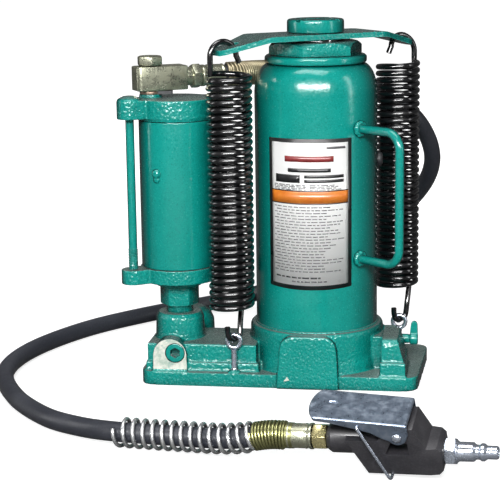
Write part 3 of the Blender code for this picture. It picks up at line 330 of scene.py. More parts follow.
def show(made, look, *nodes, like=None, slot=None, rides=True, sharp=40):
    """Shades a finished piece, gives it its look, sets it on its body and hides the CAD nodes it stands in
    for.

    Its body is that of the first node, or of the node named by like for an added detail.
    slot is not used.
    """
    made.data.shade_smooth()
    if sharp:
        made.data.set_sharp_from_angle(angle=radians(sharp))
    for material in look if isinstance(look, list) else [look]:
        made.data.materials.append(material)
    if rides:
        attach(made, BODY_OF[like or nodes[0]])
    if nodes:
        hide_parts(*nodes)
    return made


# ---------------------------------------------------------------- materials

class Look:
    """A Principled material with a short way to add nodes."""

    def __init__(self, name, color, metallic=0.0, roughness=0.4, **more):
        self.material = bpy.data.materials.new(name)
        self.material.use_nodes = True
        self.tree = self.material.node_tree
        self.shader = self.tree.nodes["Principled BSDF"]
        self.place = self.add("TexCoord").outputs["Object"]
        self.set(self.shader, "Base Color", (*color, 1))
        self.set(self.shader, "Metallic", metallic)
        self.set(self.shader, "Roughness", roughness)
        for key, value in more.items():
            self.set(self.shader, key.replace("_", " "), value)
        self.normal = None

    def set(self, node, socket, value):
        if isinstance(value, bpy.types.NodeSocket):
            self.tree.links.new(value, node.inputs[socket])
        else:
            node.inputs[socket].default_value = value

    def add(self, kind, settings=None, **inputs):
        """A node with its settings and inputs. i0, i1 and so on name an input by its number."""
        node = self.tree.nodes.new("ShaderNode" + kind)
        for key, value in (settings or {}).items():
            setattr(node, key, value)
        for key, value in inputs.items():
            socket = int(key[1:]) if key[0] == "i" and key[1:].isdigit() else key.replace("_", " ")
            self.set(node, socket, value)
        return node

    def noise(self, scale, detail=2.0, roughness=0.5, stretch=None):
        place = self.place
        if stretch:
            place = self.add("VectorMath", {"operation": "MULTIPLY"}, i0=place, i1=stretch).outputs[0]
        return self.add("TexNoise", Vector=place, Scale=scale, Detail=detail,
                        Roughness=roughness).outputs["Fac"]

    def cells(self, scale):
        return self.add("TexVoronoi", {"feature": "SMOOTH_F1"}, Vector=self.place, Scale=scale,
                        Smoothness=0.6).outputs["Distance"]

    def span(self, value, low, high, new_low=0.0, new_high=1.0):
        return self.add("MapRange", i0=value, i1=low, i2=high, i3=new_low, i4=new_high).outputs[0]

    def math(self, operation, a, b=0.0):
        return self.add("Math", {"operation": operation, "use_clamp": True}, i0=a, i1=b).outputs[0]

    def mix(self, share, a, b):
        node = self.add("Mix", {"data_type": "RGBA"})
        self.set(node, 0, share)
        for index, value in ((6, a), (7, b)):
            self.set(node, index, value if isinstance(value, bpy.types.NodeSocket) else (*value, 1))
        return node.outputs[2]

    def bump(self, height, strength, distance):
        node = self.add("Bump", Height=height, Strength=strength, Distance=distance)
        if self.normal is not None:
            self.set(node, "Normal", self.normal)
        self.normal = node.outputs["Normal"]
        self.set(self.shader, "Normal", self.normal)

    def edges(self, radius):
        """1 along convex and concave edges, 0 on flats."""
        soft = self.add("Bevel", {"samples": 4}, Radius=radius).outputs[0]
        hard = self.add("NewGeometry").outputs["Normal"]
        dot = self.add("VectorMath", {"operation": "DOT_PRODUCT"}, i0=soft, i1=hard).outputs["Value"]
        return self.span(dot, 0.99, 0.86)

    def shade(self, reach):
        """1 in the open, falling to 0 in crevices."""
        return self.add("AmbientOcclusion", {"samples": 4}, Distance=reach).outputs["AO"]


GREEN, GREEN_DEEP, GREEN_LIGHT = (0.003, 0.325, 0.275), (0.001, 0.12, 0.105), (0.006, 0.46, 0.40)


def paint(name, cell_scale=330, depth=0.35, roughness=0.30, wear=0.5, dust_and_sheen=0.0):
    """Teal paint with a pebbled skin: painted shade in corners and along grazing edges, rubbed along edges,
    and on faces that look up dust with a painted grey sheen.
    """
    look = Look(name, GREEN, 0.0, roughness, Specular_IOR_Level=0.42)
    cloud = look.noise(28, 3, 0.6)
    grain = look.noise(900, 3, 0.6)
    color = look.mix(look.span(cloud, 0.35, 0.68), GREEN, (0.005, 0.37, 0.315))
    color = look.mix(look.span(grain, 0.45, 0.75, 0, 0.55), color, GREEN_LIGHT)
    color = look.mix(look.span(grain, 0.42, 0.25, 0, 0.5), color, GREEN_DEEP)
    # Painted shade: the colour darkens in crevices (ambient occlusion) and towards the grazing edges of round
    # parts, where they turn away from the lamps.
    corner = look.span(look.shade(12 * MM), 0.82, 0.25, 0, 0.85)
    grazing_shade = look.add("LayerWeight", Blend=0.5).outputs["Facing"]
    color = look.mix(look.math("MAXIMUM", corner, look.span(grazing_shade, 0.20, 0.76, 0, 0.93)), color,
                     (0.001, 0.032, 0.030))
    edge = look.edges(1.1 * MM)
    rubbed = look.math("MULTIPLY", edge, look.span(look.noise(160, 4, 0.7), 0.38, 0.6, 0, wear))
    color = look.mix(rubbed, color, (0.10, 0.62, 0.53))
    chip = look.math("MULTIPLY", edge, look.span(look.noise(420, 4, 0.75), 0.62, 0.68, 0, wear * 1.4))
    color = look.mix(chip, color, (0.17, 0.17, 0.165))
    # Faces that look up turn grey: partly dust, partly a painted grey sheen that stands for the reflection of
    # the surroundings on the paint at a grazing view.
    if dust_and_sheen:
        facing = look.add("SeparateXYZ", i0=look.add("NewGeometry").outputs["Normal"]).outputs[2]
        lying_dust_and_sheen = look.math("MULTIPLY", look.span(facing, 0.82, 0.97),
                          look.span(cloud, 0.30, 0.60, dust_and_sheen * 0.6, dust_and_sheen))
        color = look.mix(lying_dust_and_sheen, color, (0.21, 0.27, 0.25))
    look.set(look.shader, "Base Color", color)
    look.set(look.shader, "Roughness", look.span(grain, 0.3, 0.7, roughness - 0.07, roughness + 0.12))
    look.bump(look.cells(cell_scale), depth, 0.35 * MM)
    look.bump(look.noise(1500, 2), depth * 0.45, 0.12 * MM)
    return look.material


def metal(name, color, roughness, stain=(0.3, 0.28, 0.22), stain_share=0.35, brushed=None, bump=0.15):
    look = Look(name, color, 0.85, roughness)
    blotch = look.noise(140, 5, 0.65)
    fine = look.noise(900, 3, 0.6, brushed)
    mixed = look.mix(look.span(blotch, 0.48, 0.72, 0, stain_share), color, stain)
    # Painted shade: the metal's colour darkens in crevices (ambient occlusion).
    crevice_shade = look.span(look.shade(5 * MM), 0.8, 0.2, 0, 0.7)
    look.set(look.shader, "Base Color", look.mix(crevice_shade, mixed, tuple(c * 0.12 for c in color)))
    worn = look.math("ADD", look.span(blotch, 0.4, 0.75, roughness - 0.06, roughness + 0.14),
                     look.span(fine, 0.3, 0.7, -0.04, 0.08))
    look.set(look.shader, "Roughness", worn)
    look.bump(fine, bump, 0.12 * MM)
    return look.material


def plain(name, color, roughness, scale=700, bump=0.2, coat=0.0, light=None):
    """Rubber, moulded plastic or film: a speckled colour, mottled roughness and a fine bump."""
    look = Look(name, color, 0.0, roughness, Coat_Weight=coat, Coat_Roughness=0.12)
    fine = look.noise(scale, 4, 0.6)
    cloud = look.noise(45, 4, 0.6)
    lighter = light or tuple(min(1, c * 1.7 + 0.01) for c in color)
    mixed = look.mix(look.span(fine, 0.45, 0.75, 0, 0.5), color, lighter)
    dusty = look.span(cloud, 0.5, 0.75, 0, 0.35)
    look.set(look.shader, "Base Color", look.mix(dusty, mixed, lighter))
    look.set(look.shader, "Roughness", look.span(cloud, 0.35, 0.7, roughness - 0.08, roughness + 0.12))
    look.bump(fine, bump, 0.15 * MM)
    return look.material


PAINT = paint("paint_smooth", 420, 0.16, 0.17)
PAINT_CAST = paint("paint_cast", 520, 1.4, 0.20, 0.9, 0.8)
PAINT_PEBBLED = paint("paint_pebbled", 480, 0.8, 0.22, 0.7, 0.35)
SPRING_BLACK = plain("spring_black", (0.003, 0.003, 0.004), 0.2, 600, 0.08, 0.5, (0.012, 0.012, 0.014))
STEEL = metal("steel_satin", (0.60, 0.61, 0.62), 0.30)
BRIGHT = metal("steel_bright", (0.56, 0.61, 0.70), 0.20, (0.34, 0.38, 0.45), 0.35)
CHROME = metal("chrome", (0.82, 0.82, 0.83), 0.07, (0.6, 0.6, 0.6), 0.15, None, 0.04)
BLUE_ZINC = metal("zinc_blue", (0.22, 0.27, 0.35), 0.34, (0.40, 0.45, 0.52), 0.65, (1, 1, 1), 0.12)
YELLOW_ZINC = metal("zinc_yellow", (0.40, 0.41, 0.31), 0.30, (0.27, 0.26, 0.17), 0.8)
OLIVE = metal("zinc_olive", (0.27, 0.27, 0.12), 0.32, (0.12, 0.12, 0.05), 0.8)
BRASS = metal("brass", (0.62, 0.55, 0.28), 0.26, (0.35, 0.30, 0.15), 0.6)
COPPER = metal("washer_copper", (0.24, 0.17, 0.13), 0.4)
TAN_ZINC = metal("zinc_tan", (0.44, 0.38, 0.25), 0.38, (0.20, 0.17, 0.10), 0.6)
RUBBER = plain("rubber", (0.016, 0.016, 0.02), 0.55, 900, 0.25)
HOSE = plain("hose_rubber", (0.030, 0.033, 0.044), 0.42, 700, 0.15, 0.0, (0.060, 0.064, 0.082))
RESIN = plain("black_resin", (0.030, 0.029, 0.034), 0.40, 800, 0.2, 0.15, (0.075, 0.072, 0.08))
LABEL_WHITE = plain("label_white", (0.94, 0.94, 0.93), 0.35, 300, 0.03, 0.3, (0.97, 0.97, 0.96))
LABEL_INK = plain("label_ink", (0.012, 0.012, 0.013), 0.35, 300, 0.03, 0.3)
LABEL_GREY = plain("label_grey", (0.12, 0.12, 0.125), 0.35, 300, 0.03, 0.3)
LABEL_ORANGE = plain("label_orange", (0.85, 0.22, 0.02), 0.35, 300, 0.03, 0.3)
LABEL_MARK = plain("label_mark", (0.30, 0.03, 0.03), 0.35, 300, 0.03, 0.3)


def machined():
    """Pale, stained faces for the casting's machined pads and rims: the pale colour is a painted highlight,
    the light's reflection on these flat faces, with patches of the teal paint.
    """
    look = Look("machined_face_highlight", (0.62, 0.61, 0.50), 0.25, 0.42)
    rings = look.noise(420, 3, 0.6, (1, 1, 6))
    blotch = look.noise(170, 5, 0.7)
    color = look.mix(look.span(blotch, 0.40, 0.62, 0, 0.8), (0.90, 0.91, 0.82), (0.42, 0.58, 0.48))
    color = look.mix(look.span(look.noise(90, 4, 0.6), 0.56, 0.66, 0, 0.7), color, (0.02, 0.30, 0.25))
    look.set(look.shader, "Base Color", color)
    look.bump(rings, 0.3, 0.15 * MM)
    return look.material


MACHINED_HIGHLIGHT = machined()


# ---------------------------------------------------------------- places taken from the CAD

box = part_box


def middle(node):
    low, high = box(node)
    return (low + high) / 2


tank_low, tank_high = box("reservoir_tank")
TANK_R = (tank_high.x - tank_low.x) / 2
TANK_TOP = tank_high.z
PUMP = middle("pump_plunger")
PUMP_X, PUMP_Y = PUMP.x, PUMP.y
PORT = middle("port_washer")
INLET_Z = middle("inlet_block").z
INLET_AZ = radians(30)
SPRING_AZ = radians(36.6)
EYE_LEFT, EYE_RIGHT = middle("eye_bolt_left"), middle("eye_bolt_right")
ROD_BACK, ROD_FRONT = middle("tie_rod_back"), middle("tie_rod_front")
# Sizes that no box gives. The springs' wire is drawn 0.2 mm thicker in radius than the CAD's.
SPRING_REACH, SPRING_R, SPRING_WIRE_R, HOOK_R = 70.4 * MM, 14.4 * MM, 2.05 * MM, 10.2 * MM
EYE_LEFT_Z, EYE_RIGHT_Z = 33 * MM, 29 * MM
BAR_HOLE_REACH = 66 * MM
HOSE_R = 6.5 * MM
LEVER_HALF = 14.2 * MM
RELEASE_Z = 25 * MM
# How finely a casting's skin is remeshed.
CASTING_VOXEL, MOTOR_VOXEL = ((0.8 * MM, 0.6 * MM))
LUG_AZ = atan2(ROD_FRONT.y - ROD_BACK.y, ROD_FRONT.x - ROD_BACK.x)


# ---------------------------------------------------------------- base casting

def base_casting():
    shape = bmesh.new()
    left, right = box("base_casting")[0].x, box("base_casting")[1].x
    taper = 4.5 * MM
    half = 48 * MM
    outline = fillet([(left, -half), (right - taper, -half), (right, half), (left, half)], 12 * MM, True, 6)
    prism(outline, 0, 10 * MM, shape)
    boss = fillet(mm([(0, 3), (50.2, 3), (50.2, 11), (48.7, 20), (48.7, 40), (0, 40)]), {4: 3 * MM})
    lathe(boss, 96, shape)
    block(mm3(-119.6, -40.5, 3), mm3(-40, 9.5, 29.3), shape)
    block(mm3(-120.5, -42.8, 3), mm3(-38, 11, 16), shape)
    lathe(mm([(0, 5), (19, 5), (18.2, 28), (17.5, 45), (15.6, 48.3), (0, 48.3)]), 64, shape,
          at(PUMP_X, PUMP_Y))
    lathe(mm([(0, 5), (16.2, 5), (15.4, 33), (12.6, 39.5), (7.4, 43), (0, 44.3)]), 48, shape,
          at(-96 * MM, 22 * MM))
    arch = mm([(-12.5, 5), (12.5, 5)] + arc((0, 21.4), 12.1, 0, 180, 24))
    upright = at(-102.4 * MM, PUMP_Y, 0) @ ACROSS
    prism(arch, 0, 30.8 * MM, shape, upright)
    pad = [(-22.9, 0.2), (21.8, 0.2), (20.2, 29)] + arc((10.6, 29.6), 9.3, 0, 90, 8)
    pad += arc((-11, 29.6), 9.3, 90, 180, 8) + [(-20.6, 29)]
    upright = at(-1.4 * MM, -28 * MM, 0) @ ACROSS
    prism(mm(pad), 0, 23 * MM, shape, upright)
    side = fillet(mm([(-43.6, 4), (-4, 4), (-4, 36.9), (-43.6, 36.9)]), {2: 3 * MM, 3: 7 * MM}, True, 6)
    sideways = Matrix(((0, 0, 1, 50.4 * MM), (1, 0, 0, 0), (0, 1, 0, 0), (0, 0, 0, 1)))
    valve_block = to_object("valve_block", prism(side, 0, 16.6 * MM, None, sideways))
    draft = mm([(40, 0), (67, 0), (67, 17), (61.4, 38), (40, 38)])
    boolean(valve_block, "INTERSECT", prism(draft, -60 * MM, 60 * MM, None, ACROSS))
    shape.from_mesh(valve_block.data)
    bpy.data.objects.remove(valve_block)
    block(mm3(49.4, -46.3, 3), mm3(67.6, -3, 20), shape)
    block(mm3(34, -25, 3), mm3(52, -5, 34), shape)
    spindle = middle("release_valve_spindle")
    lathe(mm([(0, 0), (9.7, 0), (9.7, 18), (8.5, 19.2), (0, 19.2)]), 40, shape,
          along((40 * MM, spindle.y, RELEASE_Z), (1, 0, 0)))
    made = cast(to_object("base_casting_skin", shape), CASTING_VOXEL, 3)
    screw = middle("safety_valve_screw")
    plug = middle("suction_valve_plug")
    face = PUMP_Y - 29.5 * MM
    cuts = [block(mm3(-120, -60, 11.5), (-86 * MM, face, 40 * MM)),
            drum(7.3, 0, 14, 48,
                  along((screw.x, -33.4 * MM, screw.z), (0, -1, 0))),
            drum(6.3, 0, 14, 40,
                  along((plug.x, 28 * MM, plug.z), (0, 1, 0))),
            drum(10, 36, 60, 64, at(PUMP_X, PUMP_Y)),
            drum(6.3, 21.4, 40, 40, at(PUMP_X, PUMP_Y)),
            drum(3.3, 0, 8, 32, along((plug.x, 22 * MM, plug.z), (0, 1, 0))),
            drum(44.7, 30, 60, 96),
            drum(4.0, 0, 20, 32, along((45 * MM, spindle.y, RELEASE_Z), (1, 0, 0)))]
    cuts[7:7] = [drum(2.6, 0, 16, 24, at(eye.x, eye.y, 2.5 * MM)) for eye in (EYE_LEFT, EYE_RIGHT)]
    cut(made, *cuts)
    show(made, [PAINT_CAST, MACHINED_HIGHLIGHT], "base_casting", sharp=50)
    # The pad's flat front face takes the pale machined look, a painted highlight.
    for polygon in made.data.polygons:
        c = polygon.center
        on_pad = abs(c.y - face) < 0.05 * MM and c.x < -86 * MM and c.z > 11 * MM
        polygon.material_index = 1 if on_pad else 0
    # The staked mark takes the same pale machined look, a painted highlight.
    stake = prism([(-2.2 * MM, 0), (1.8 * MM, 0.6 * MM), (0.2 * MM, 3.4 * MM)], 0, 0.5 * MM)
    stake.transform(Matrix.Translation(mm3(-16.6, -50.6, 6.3)) @ ACROSS)
    show(to_object("base_staked_mark", stake), MACHINED_HIGHLIGHT, like="safety_valve_screw")


def socket_screw(name, node, direction, radius, look):
    low, high = box(node)
    center = (low + high) / 2
    axis = Vector(direction)
    length = abs((high - low).dot(axis))
    start = center - axis * length / 2
    shape = lathe(fillet([(0, 0), (radius, 0), (radius, length), (0, length)], {2: 0.9 * MM}), 48)
    made = to_object(name, shape)
    hole = prism(hexagon(radius * 0.98), length * 0.45, length + MM)
    cut(made, hole)
    made.data.transform(along(start, axis))
    show(made, look, node)


# ---------------------------------------------------------------- tank and column

def tank():
    inner = TANK_R - 2.75 * MM
    neck = 28.2 * MM
    shoulder = TANK_TOP - 22 * MM
    profile = [(TANK_R, tank_low.z)]
    profile += [(TANK_R - 11 * MM * (1 - cos(a)), shoulder + 22 * MM * sin(a))
                for a in map(radians, range(0, 91, 6))]
    profile += [(neck, TANK_TOP), (neck, TANK_TOP - 2.75 * MM), (inner - 8 * MM, TANK_TOP - 2.75 * MM),
                (inner, shoulder), (inner, tank_low.z)]
    show(to_object("tank_shell", lathe(profile, 160)), PAINT, "reservoir_tank")
    bead = [polar(tau * i / 120, TANK_R + 0.1 * MM, 40.1 * MM) for i in range(120)]
    show(to_object("tank_foot_bead", sweep(bead, 0.9 * MM, 10, None, True)), PAINT_CAST, like="base_casting")

    low, high = box("tank_collar")
    r = (high.x - low.x) / 2
    collar = fillet([(neck, low.z), (r - 0.6 * MM, low.z), (r, low.z + 1.2 * MM), (r, high.z - 1.4 * MM),
                     (r - 1.6 * MM, high.z), (neck, high.z)], 0.7 * MM, True)
    show(to_object("collar_ring", lathe(collar, 128)), PAINT, "tank_collar")
    top_nut()
    for node, name in (("ram_wiper_seal", "wiper_lip"), ("tank_gasket", "gasket_line")):
        low, high = box(node)
        r, wall = (high.x - low.x) / 2, 1.7 * MM
        ring = fillet([(r - wall, low.z), (r, low.z), (r, high.z), (r - wall, high.z)], 0.5 * MM, True)
        show(to_object(name, lathe(ring, 96)), RUBBER, node)


def top_nut():
    high = box("top_nut")[1]
    flats = 59.6 * MM
    turn = radians(-69)
    under = 235.3 * MM
    made = to_object("gland_nut", prism(hexagon(flats, turn), under, high.z))
    corner = flats / sqrt(3)
    dome = [(0, under - MM), (corner + MM, under - MM), (corner + MM, high.z - 4.2 * MM),
            (corner - 4.2 * MM, high.z - 0.4 * MM), (corner - 7 * MM, high.z + 0.2 * MM),
            (0, high.z + 0.2 * MM)]
    boolean(made, "INTERSECT", lathe(dome, 96))
    cut(made, drum(20.4, 200, 260, 96))
    bevel_edges(made, 0.5 * MM)
    show(made, PAINT_PEBBLED, "top_nut")


def ram_parts():
    low, high = box("ram")
    r = 18 * MM
    neck = 14.6 * MM
    profile = [(0, low.z), (7.7 * MM, low.z), (7.7 * MM, 46 * MM), (12.8 * MM, 46 * MM),
               (12.8 * MM, 58.2 * MM)]
    profile += [(r - MM, 58.2 * MM), (r, 59.2 * MM), (r, 245.5 * MM), (r - 0.6 * MM, 246.1 * MM)]
    profile += [(neck, 246.1 * MM), (neck, high.z), (12.4 * MM, high.z), (12.4 * MM, 82 * MM), (0, 82 * MM)]
    show(to_object("ram_tube", lathe(profile, 96)), CHROME, "ram")
    spring_bar()

    low, high = box("extension_screw")
    shank, saddle_low = 12 * MM, 250.5 * MM
    pitch, depth = 6 * MM, 1.5 * MM
    root = [(0, low.z), (shank - depth, low.z), (shank - depth, saddle_low + MM), (0, saddle_low + MM)]
    shape = lathe(root, 64)
    thread = []
    turns = (saddle_low - 3 * MM - (low.z + 8 * MM)) / pitch
    steps = 40
    for i in range(int(turns * steps)):
        thread.append(polar(tau * i / steps, shank - depth - 0.3 * MM, low.z + 8 * MM + pitch * i / steps))
    sweep(thread, 1.8 * MM, 8, shape)
    show(to_object("screw_thread", shape), STEEL, like="extension_screw", slot="steel")
    r = (high.x - low.x) / 2
    head = fillet([(0, saddle_low), (r, saddle_low), (r, high.z), (0, high.z)], {1: 1 * MM, 2: 2.2 * MM})
    made = to_object("saddle_head", lathe(head, 128))
    cuts = []
    for turn in (-31, 59):
        groove = block((-25 * MM, -1.6 * MM, high.z - 1.5 * MM), (25 * MM, 1.6 * MM, high.z + MM))
        groove.transform(spin(turn))
        cuts.append(groove)
    cut(made, *cuts)
    show(made, PAINT, "extension_screw")


def spring_bar():
    bottom, thick = 246.4 * MM, 3.7 * MM
    flat, half, reach, tip = 45 * MM, 22 * MM, 80 * MM, 9.5 * MM
    droop = tan(radians(15))
    shape = bmesh.new()
    stations = []
    count = 44
    for i in range(count + 1):
        x = -reach + 2 * reach * i / count
        far = abs(x)
        past = max(0.0, far - flat)
        soft = 4 * MM
        drop = droop * (past - soft / 2 if past > soft else past * past / (2 * soft))
        width = half - (half - tip) * min(1.0, past / (reach - 5 * MM - flat))
        if far > reach - 5 * MM:
            share = (far - reach + 5 * MM) / (5 * MM)
            width = tip * (1 - 0.45 * share * share)
        stations.append((x, width, bottom - drop))
    sections = []
    for x, width, z in stations:
        corners = ((-width, z), (width, z), (width, z + thick), (-width, z + thick))
        sections.append([shape.verts.new((x, y, h)) for y, h in corners])
    for near, far in zip(sections, sections[1:]):
        for i in range(4):
            j = (i + 1) % 4
            shape.faces.new((near[i], near[j], far[j], far[i]))
    shape.faces.new(sections[0])
    shape.faces.new(list(reversed(sections[-1])))
    made = to_object("top_bar", shape)
    holes = [drum(14.9, 240, 256, 64)]
    for side in (-1, 1):
        holes.append(drum(3.9, 225, 256, 32, at(side * BAR_HOLE_REACH, 0)))
    cut(made, *holes)
    bevel_edges(made, 0.9 * MM, 3, 50)
    made.data.transform(Matrix.Rotation(SPRING_AZ, 4, "Z"))
    show(made, PAINT_PEBBLED, "spring_bar", sharp=50)


# ---------------------------------------------------------------- springs

# The lower hook's way through the eye bolt's ring: steps from the ring's centre, in millimetres.
EYE_PASS = ((0, 0, 1.1), (-0.6, -1.6, 1.3), (-1.3, -2.6, 1.9), (-2.7, -4.2, 3.6), (-3.6, -4.8, 7),
            (-3.8, -5, 11.5))


def return_spring(node, outward, eye, wire_up, hug):
    """A return spring from its hook in the eye bolt, round its coil, to its hook over the bar.

    wire_up says how far right of the eye the wire leaves the lower hook and meets the coil, and hug how
    steeply the top hook slopes.
    """
    center = polar(outward, SPRING_REACH)
    out = polar(outward, 1)
    steps = 26
    low, high = 57 * MM, 225 * MM
    first = acos((eye.x + wire_up[1] - center.x) / SPRING_R)
    turns = 33 + (outward - first) / tau % 1
    count = round(turns * steps)
    coil = [center + polar(first + tau * turns * i / count, SPRING_R, low + (high - low) * i / count)
            for i in range(count + 1)]
    bend_center = center + out * (SPRING_R - HOOK_R) + UP * 237 * MM
    top = [bend_center + out * (HOOK_R * cos(a)) + UP * (HOOK_R * sin(a))
           for a in map(radians, range(0, 181, 12))]
    top.append(bend_center - out * (HOOK_R + 1.2 * MM) - UP * 2.5 * MM)
    top.append(bend_center - out * (HOOK_R + 2.2 * MM) - UP * 5 * MM)
    top = [point - UP * hug * (point.dot(out) - 64.4 * MM) for point in top]
    lead_up = [coil[-1] + UP * 3 * MM, coil[-1] + UP * 7 * MM]
    tail = [eye + Vector(step) * MM for step in EYE_PASS]
    rise = [eye + Vector((wire_up[0], 4.2 * MM, 4 * MM)),
            eye.lerp(coil[0], 0.5) + Vector((wire_up[0] * 0.5, 0, 0))]
    bottom = curve_through(list(reversed(tail)) + [eye + Vector((1.9, 2.4, 1.9)) * MM] + rise + [coil[0]],
                           5)[:-1]
    shape = sweep(bottom + coil + lead_up + top, SPRING_WIRE_R, 12)
    made = to_object(node + "_wire", shape)
    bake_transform(made)
    show(made, SPRING_BLACK, node, rides=False, sharp=60)


def eye_bolt(node, ring_z):
    low, high = box(node)
    x, y = (low.x + high.x) / 2, (low.y + high.y) / 2
    center = Vector((x, y, ring_z))
    circle = [center + Vector((4.8 * MM * cos(a), 0, 4.8 * MM * sin(a)))
              for a in (tau * i / 40 for i in range(40))]
    shape = sweep(circle, 1.6 * MM, 16, None, True)
    neck = [Vector((x, y, low.z)), Vector((x, y, ring_z - 8 * MM)), Vector((x, y, ring_z - 5.2 * MM))]
    sweep(resample(neck, 1 * MM), lambda t: 2.05 * MM if t < 0.93 else 2.3 * MM, 24, shape)
    thread = [Vector((x, y, 0)) + polar(tau * i / 16, 2.05 * MM, 9 * MM + 0.8 * MM * i / 16)
              for i in range(16 * 5)]
    sweep(thread, 0.25 * MM, 6, shape)
    show(to_object(node + "_forged", shape), BRIGHT, node, sharp=50)
    seat = soft_lathe([(2.2, 9.8), (5.4, 9.8), (4.4, 11.2), (2.9, 12.2), (2.2, 12.2)], 0.4, 40, at(x, y),
                      True)
    show(to_object(node + "_weld", seat), PAINT_CAST, like="base_casting", sharp=60)


# ---------------------------------------------------------------- label, handle, filler plug

def label():
    low, high = box("label_plate")
    turn, half = radians(-91), radians(40.4)
    radius = TANK_R + 0.5 * MM
    shape = bmesh.new()
    films = (LABEL_WHITE, LABEL_INK, LABEL_GREY, LABEL_ORANGE, LABEL_MARK)
    white, ink, grey, orange, mark = range(5)
    flat, droop = 0.1 * MM, 1.6 * MM

    def patch(a0, a1, z0, z1, lift, index):
        """A curved patch: a0 and a1 run from -1 to 1 across the label, z0 and z1 from 0 to 1 up it."""
        steps = max(1, int(abs(a1 - a0) * 14))
        ring = []
        for i in range(steps + 1):
            angle = turn + half * (a0 + (a1 - a0) * i / steps)
            sag = droop * (((a0 + (a1 - a0) * i / steps)) ** 2)
            bottom, top = (low.z + (high.z - low.z) * z for z in (z0, z1))
            bottom += sag * (1 - z0) - droop * (1 - z0)
            top += sag * (1 - z1) - droop * (1 - z1)
            ring.append((shape.verts.new(polar(angle, radius + lift, bottom)),
                         shape.verts.new(polar(angle, radius + lift, top))))
        for (a, b), (c, d) in zip(ring, ring[1:]):
            shape.faces.new((a, c, d, b)).material_index = index

    patch(-1, 1, 0, 1, 0, ink)
    patch(-0.91, 0.91, 0.028, 0.975, 0.05 * MM, white)
    patch(-0.91, 0.91, 0.575, 0.655, flat, orange)
    for z in (0.570, 0.655):
        patch(-0.91, 0.91, z, z + 0.007, 0.13 * MM, ink)
    patch(-0.56, 0.56, 0.850, 0.888, flat, mark)
    patch(-0.48, 0.50, 0.782, 0.808, flat, ink)
    patch(-0.80, -0.20, 0.712, 0.765, flat, ink)
    for z in (0.744, 0.714):
        patch(-0.10, 0.80, z, z + 0.020, flat, ink)
    patch(0.40, 0.84, 0.935, 0.950, flat, grey)
    rng = random.Random(11)

    def words(z, tall, start, end, index):
        a = start
        while a < end - 0.03:
            width = rng.uniform(0.05, 0.16)
            patch(a, min(end, a + width), z, z + tall, flat, index)
            a += width + rng.uniform(0.022, 0.034)

    for row in range(4):
        words(0.694 - row * 0.0098, 0.0055, -0.84, -0.06, grey)
        words(0.694 - row * 0.0098, 0.0055, 0.02, rng.uniform(0.6, 0.84), grey)
    z = 0.548
    row = 0
    while z > 0.10:
        indent = -0.78 if row % 2 else -0.84
        words(z, 0.0062, indent, rng.uniform(0.35, 0.86), grey)
        z -= 0.0195
        row += 1
    words(0.075, 0.010, -0.80, 0.30, ink)
    words(0.050, 0.009, -0.40, 0.40, grey)
    made = to_object("front_label", shape)
    for material in films:
        made.data.materials.append(material)
    made.data.shade_smooth()
    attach(made, BODY_OF["label_plate"])
    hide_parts("label_plate")
    solid = made.modifiers.new("film", "SOLIDIFY")
    solid.thickness = 0.04 * MM
    solid.offset = -1
    bake(made)


def handle():
    az = radians(-40.6)
    out = polar(az, 1)
    reach, z_low, z_high, bend, r = 83 * MM, 92 * MM, 185 * MM, 12 * MM, 3.2 * MM
    path = [out * (TANK_R - 0.5 * MM) + UP * z_high, out * (TANK_R + 8 * MM) + UP * z_high]
    for center_z, first in ((z_high - bend, 90), (z_low + bend, 0)):
        center = out * (reach - bend) + UP * center_z
        for angle in map(radians, range(first, first - 91, -6)):
            path.append(center + (out * cos(angle) + UP * sin(angle)) * bend)
    path += [out * (TANK_R + 8 * MM) + UP * z_low, out * (TANK_R - 0.5 * MM) + UP * z_low]
    shape = sweep(path, r, 24)
    rng = random.Random(5)
    for z in (z_low, z_high):
        place = along(out * (TANK_R - 0.2 * MM) + UP * z, out)
        ring = []
        for i in range(36):
            a = tau * i / 36
            swell = 1 + 0.07 * sin(a * 9) + rng.uniform(-0.03, 0.03)
            ring.append(place @ Vector((4.1 * MM * swell * cos(a), 4.1 * MM * swell * sin(a), 1.3 * MM)))
        sweep(ring, 1.9 * MM, 12, shape, True)
    made = to_object("handle_rod", shape)
    show(made, PAINT, "carry_handle", sharp=60)


def filler_plug():
    low, high = box("filler_plug")
    az, z = radians(6), (low.z + high.z) / 2
    profile = [(0, -3.4), (3.5, -3.4), (3.5, 0.2), (5.2, 0.2), (5.0, 2.6), (3.4, 3.9), (0, 3.9)]
    shape = soft_lathe(profile, {4: 1, 5: 1}, 48, along(polar(az, TANK_R, z), polar(az, 1)))
    show(to_object("filler_cap", shape), RUBBER, "filler_plug")


def release_valve():
    y, z = middle("release_valve_o_ring").y, RELEASE_Z
    profile = [(0, 0), (3.5, 4), (3.5, 30.2), (3.1, 30.6), (3.1, 31.2), (4.5, 31.8), (4.5, 35.9), (3.6, 37.3),
               (0, 37.3)]
    shape = soft_lathe(profile, 0.4, 40, along((37 * MM, y, z), (1, 0, 0)))
    wing = fillet(mm([(67.9, -1), (74.3, -1), (74, 11), (72.8, 13.4), (70, 13.4), (69, 11)]), 1.6 * MM, True)
    prism(wing, -1.6 * MM, 1.6 * MM, shape, at(0, y, z) @ ACROSS)
    made = cast(to_object("release_wing", shape), 0.35 * MM, 3)
    show(made, PAINT, "release_valve_spindle", sharp=60)


# ---------------------------------------------------------------- air motor

def lug_outline(body_r, lug_r, reach):
    meet = degrees(asin(lug_r / body_r))
    outline = []
    for sign in (1, -1):
        outline += [(x * sign, y * sign) for x, y in
                    arc((reach, 0), lug_r, -90, 90, 20) + arc((0, 0), body_r, meet, 180 - meet, 36)]
    return outline


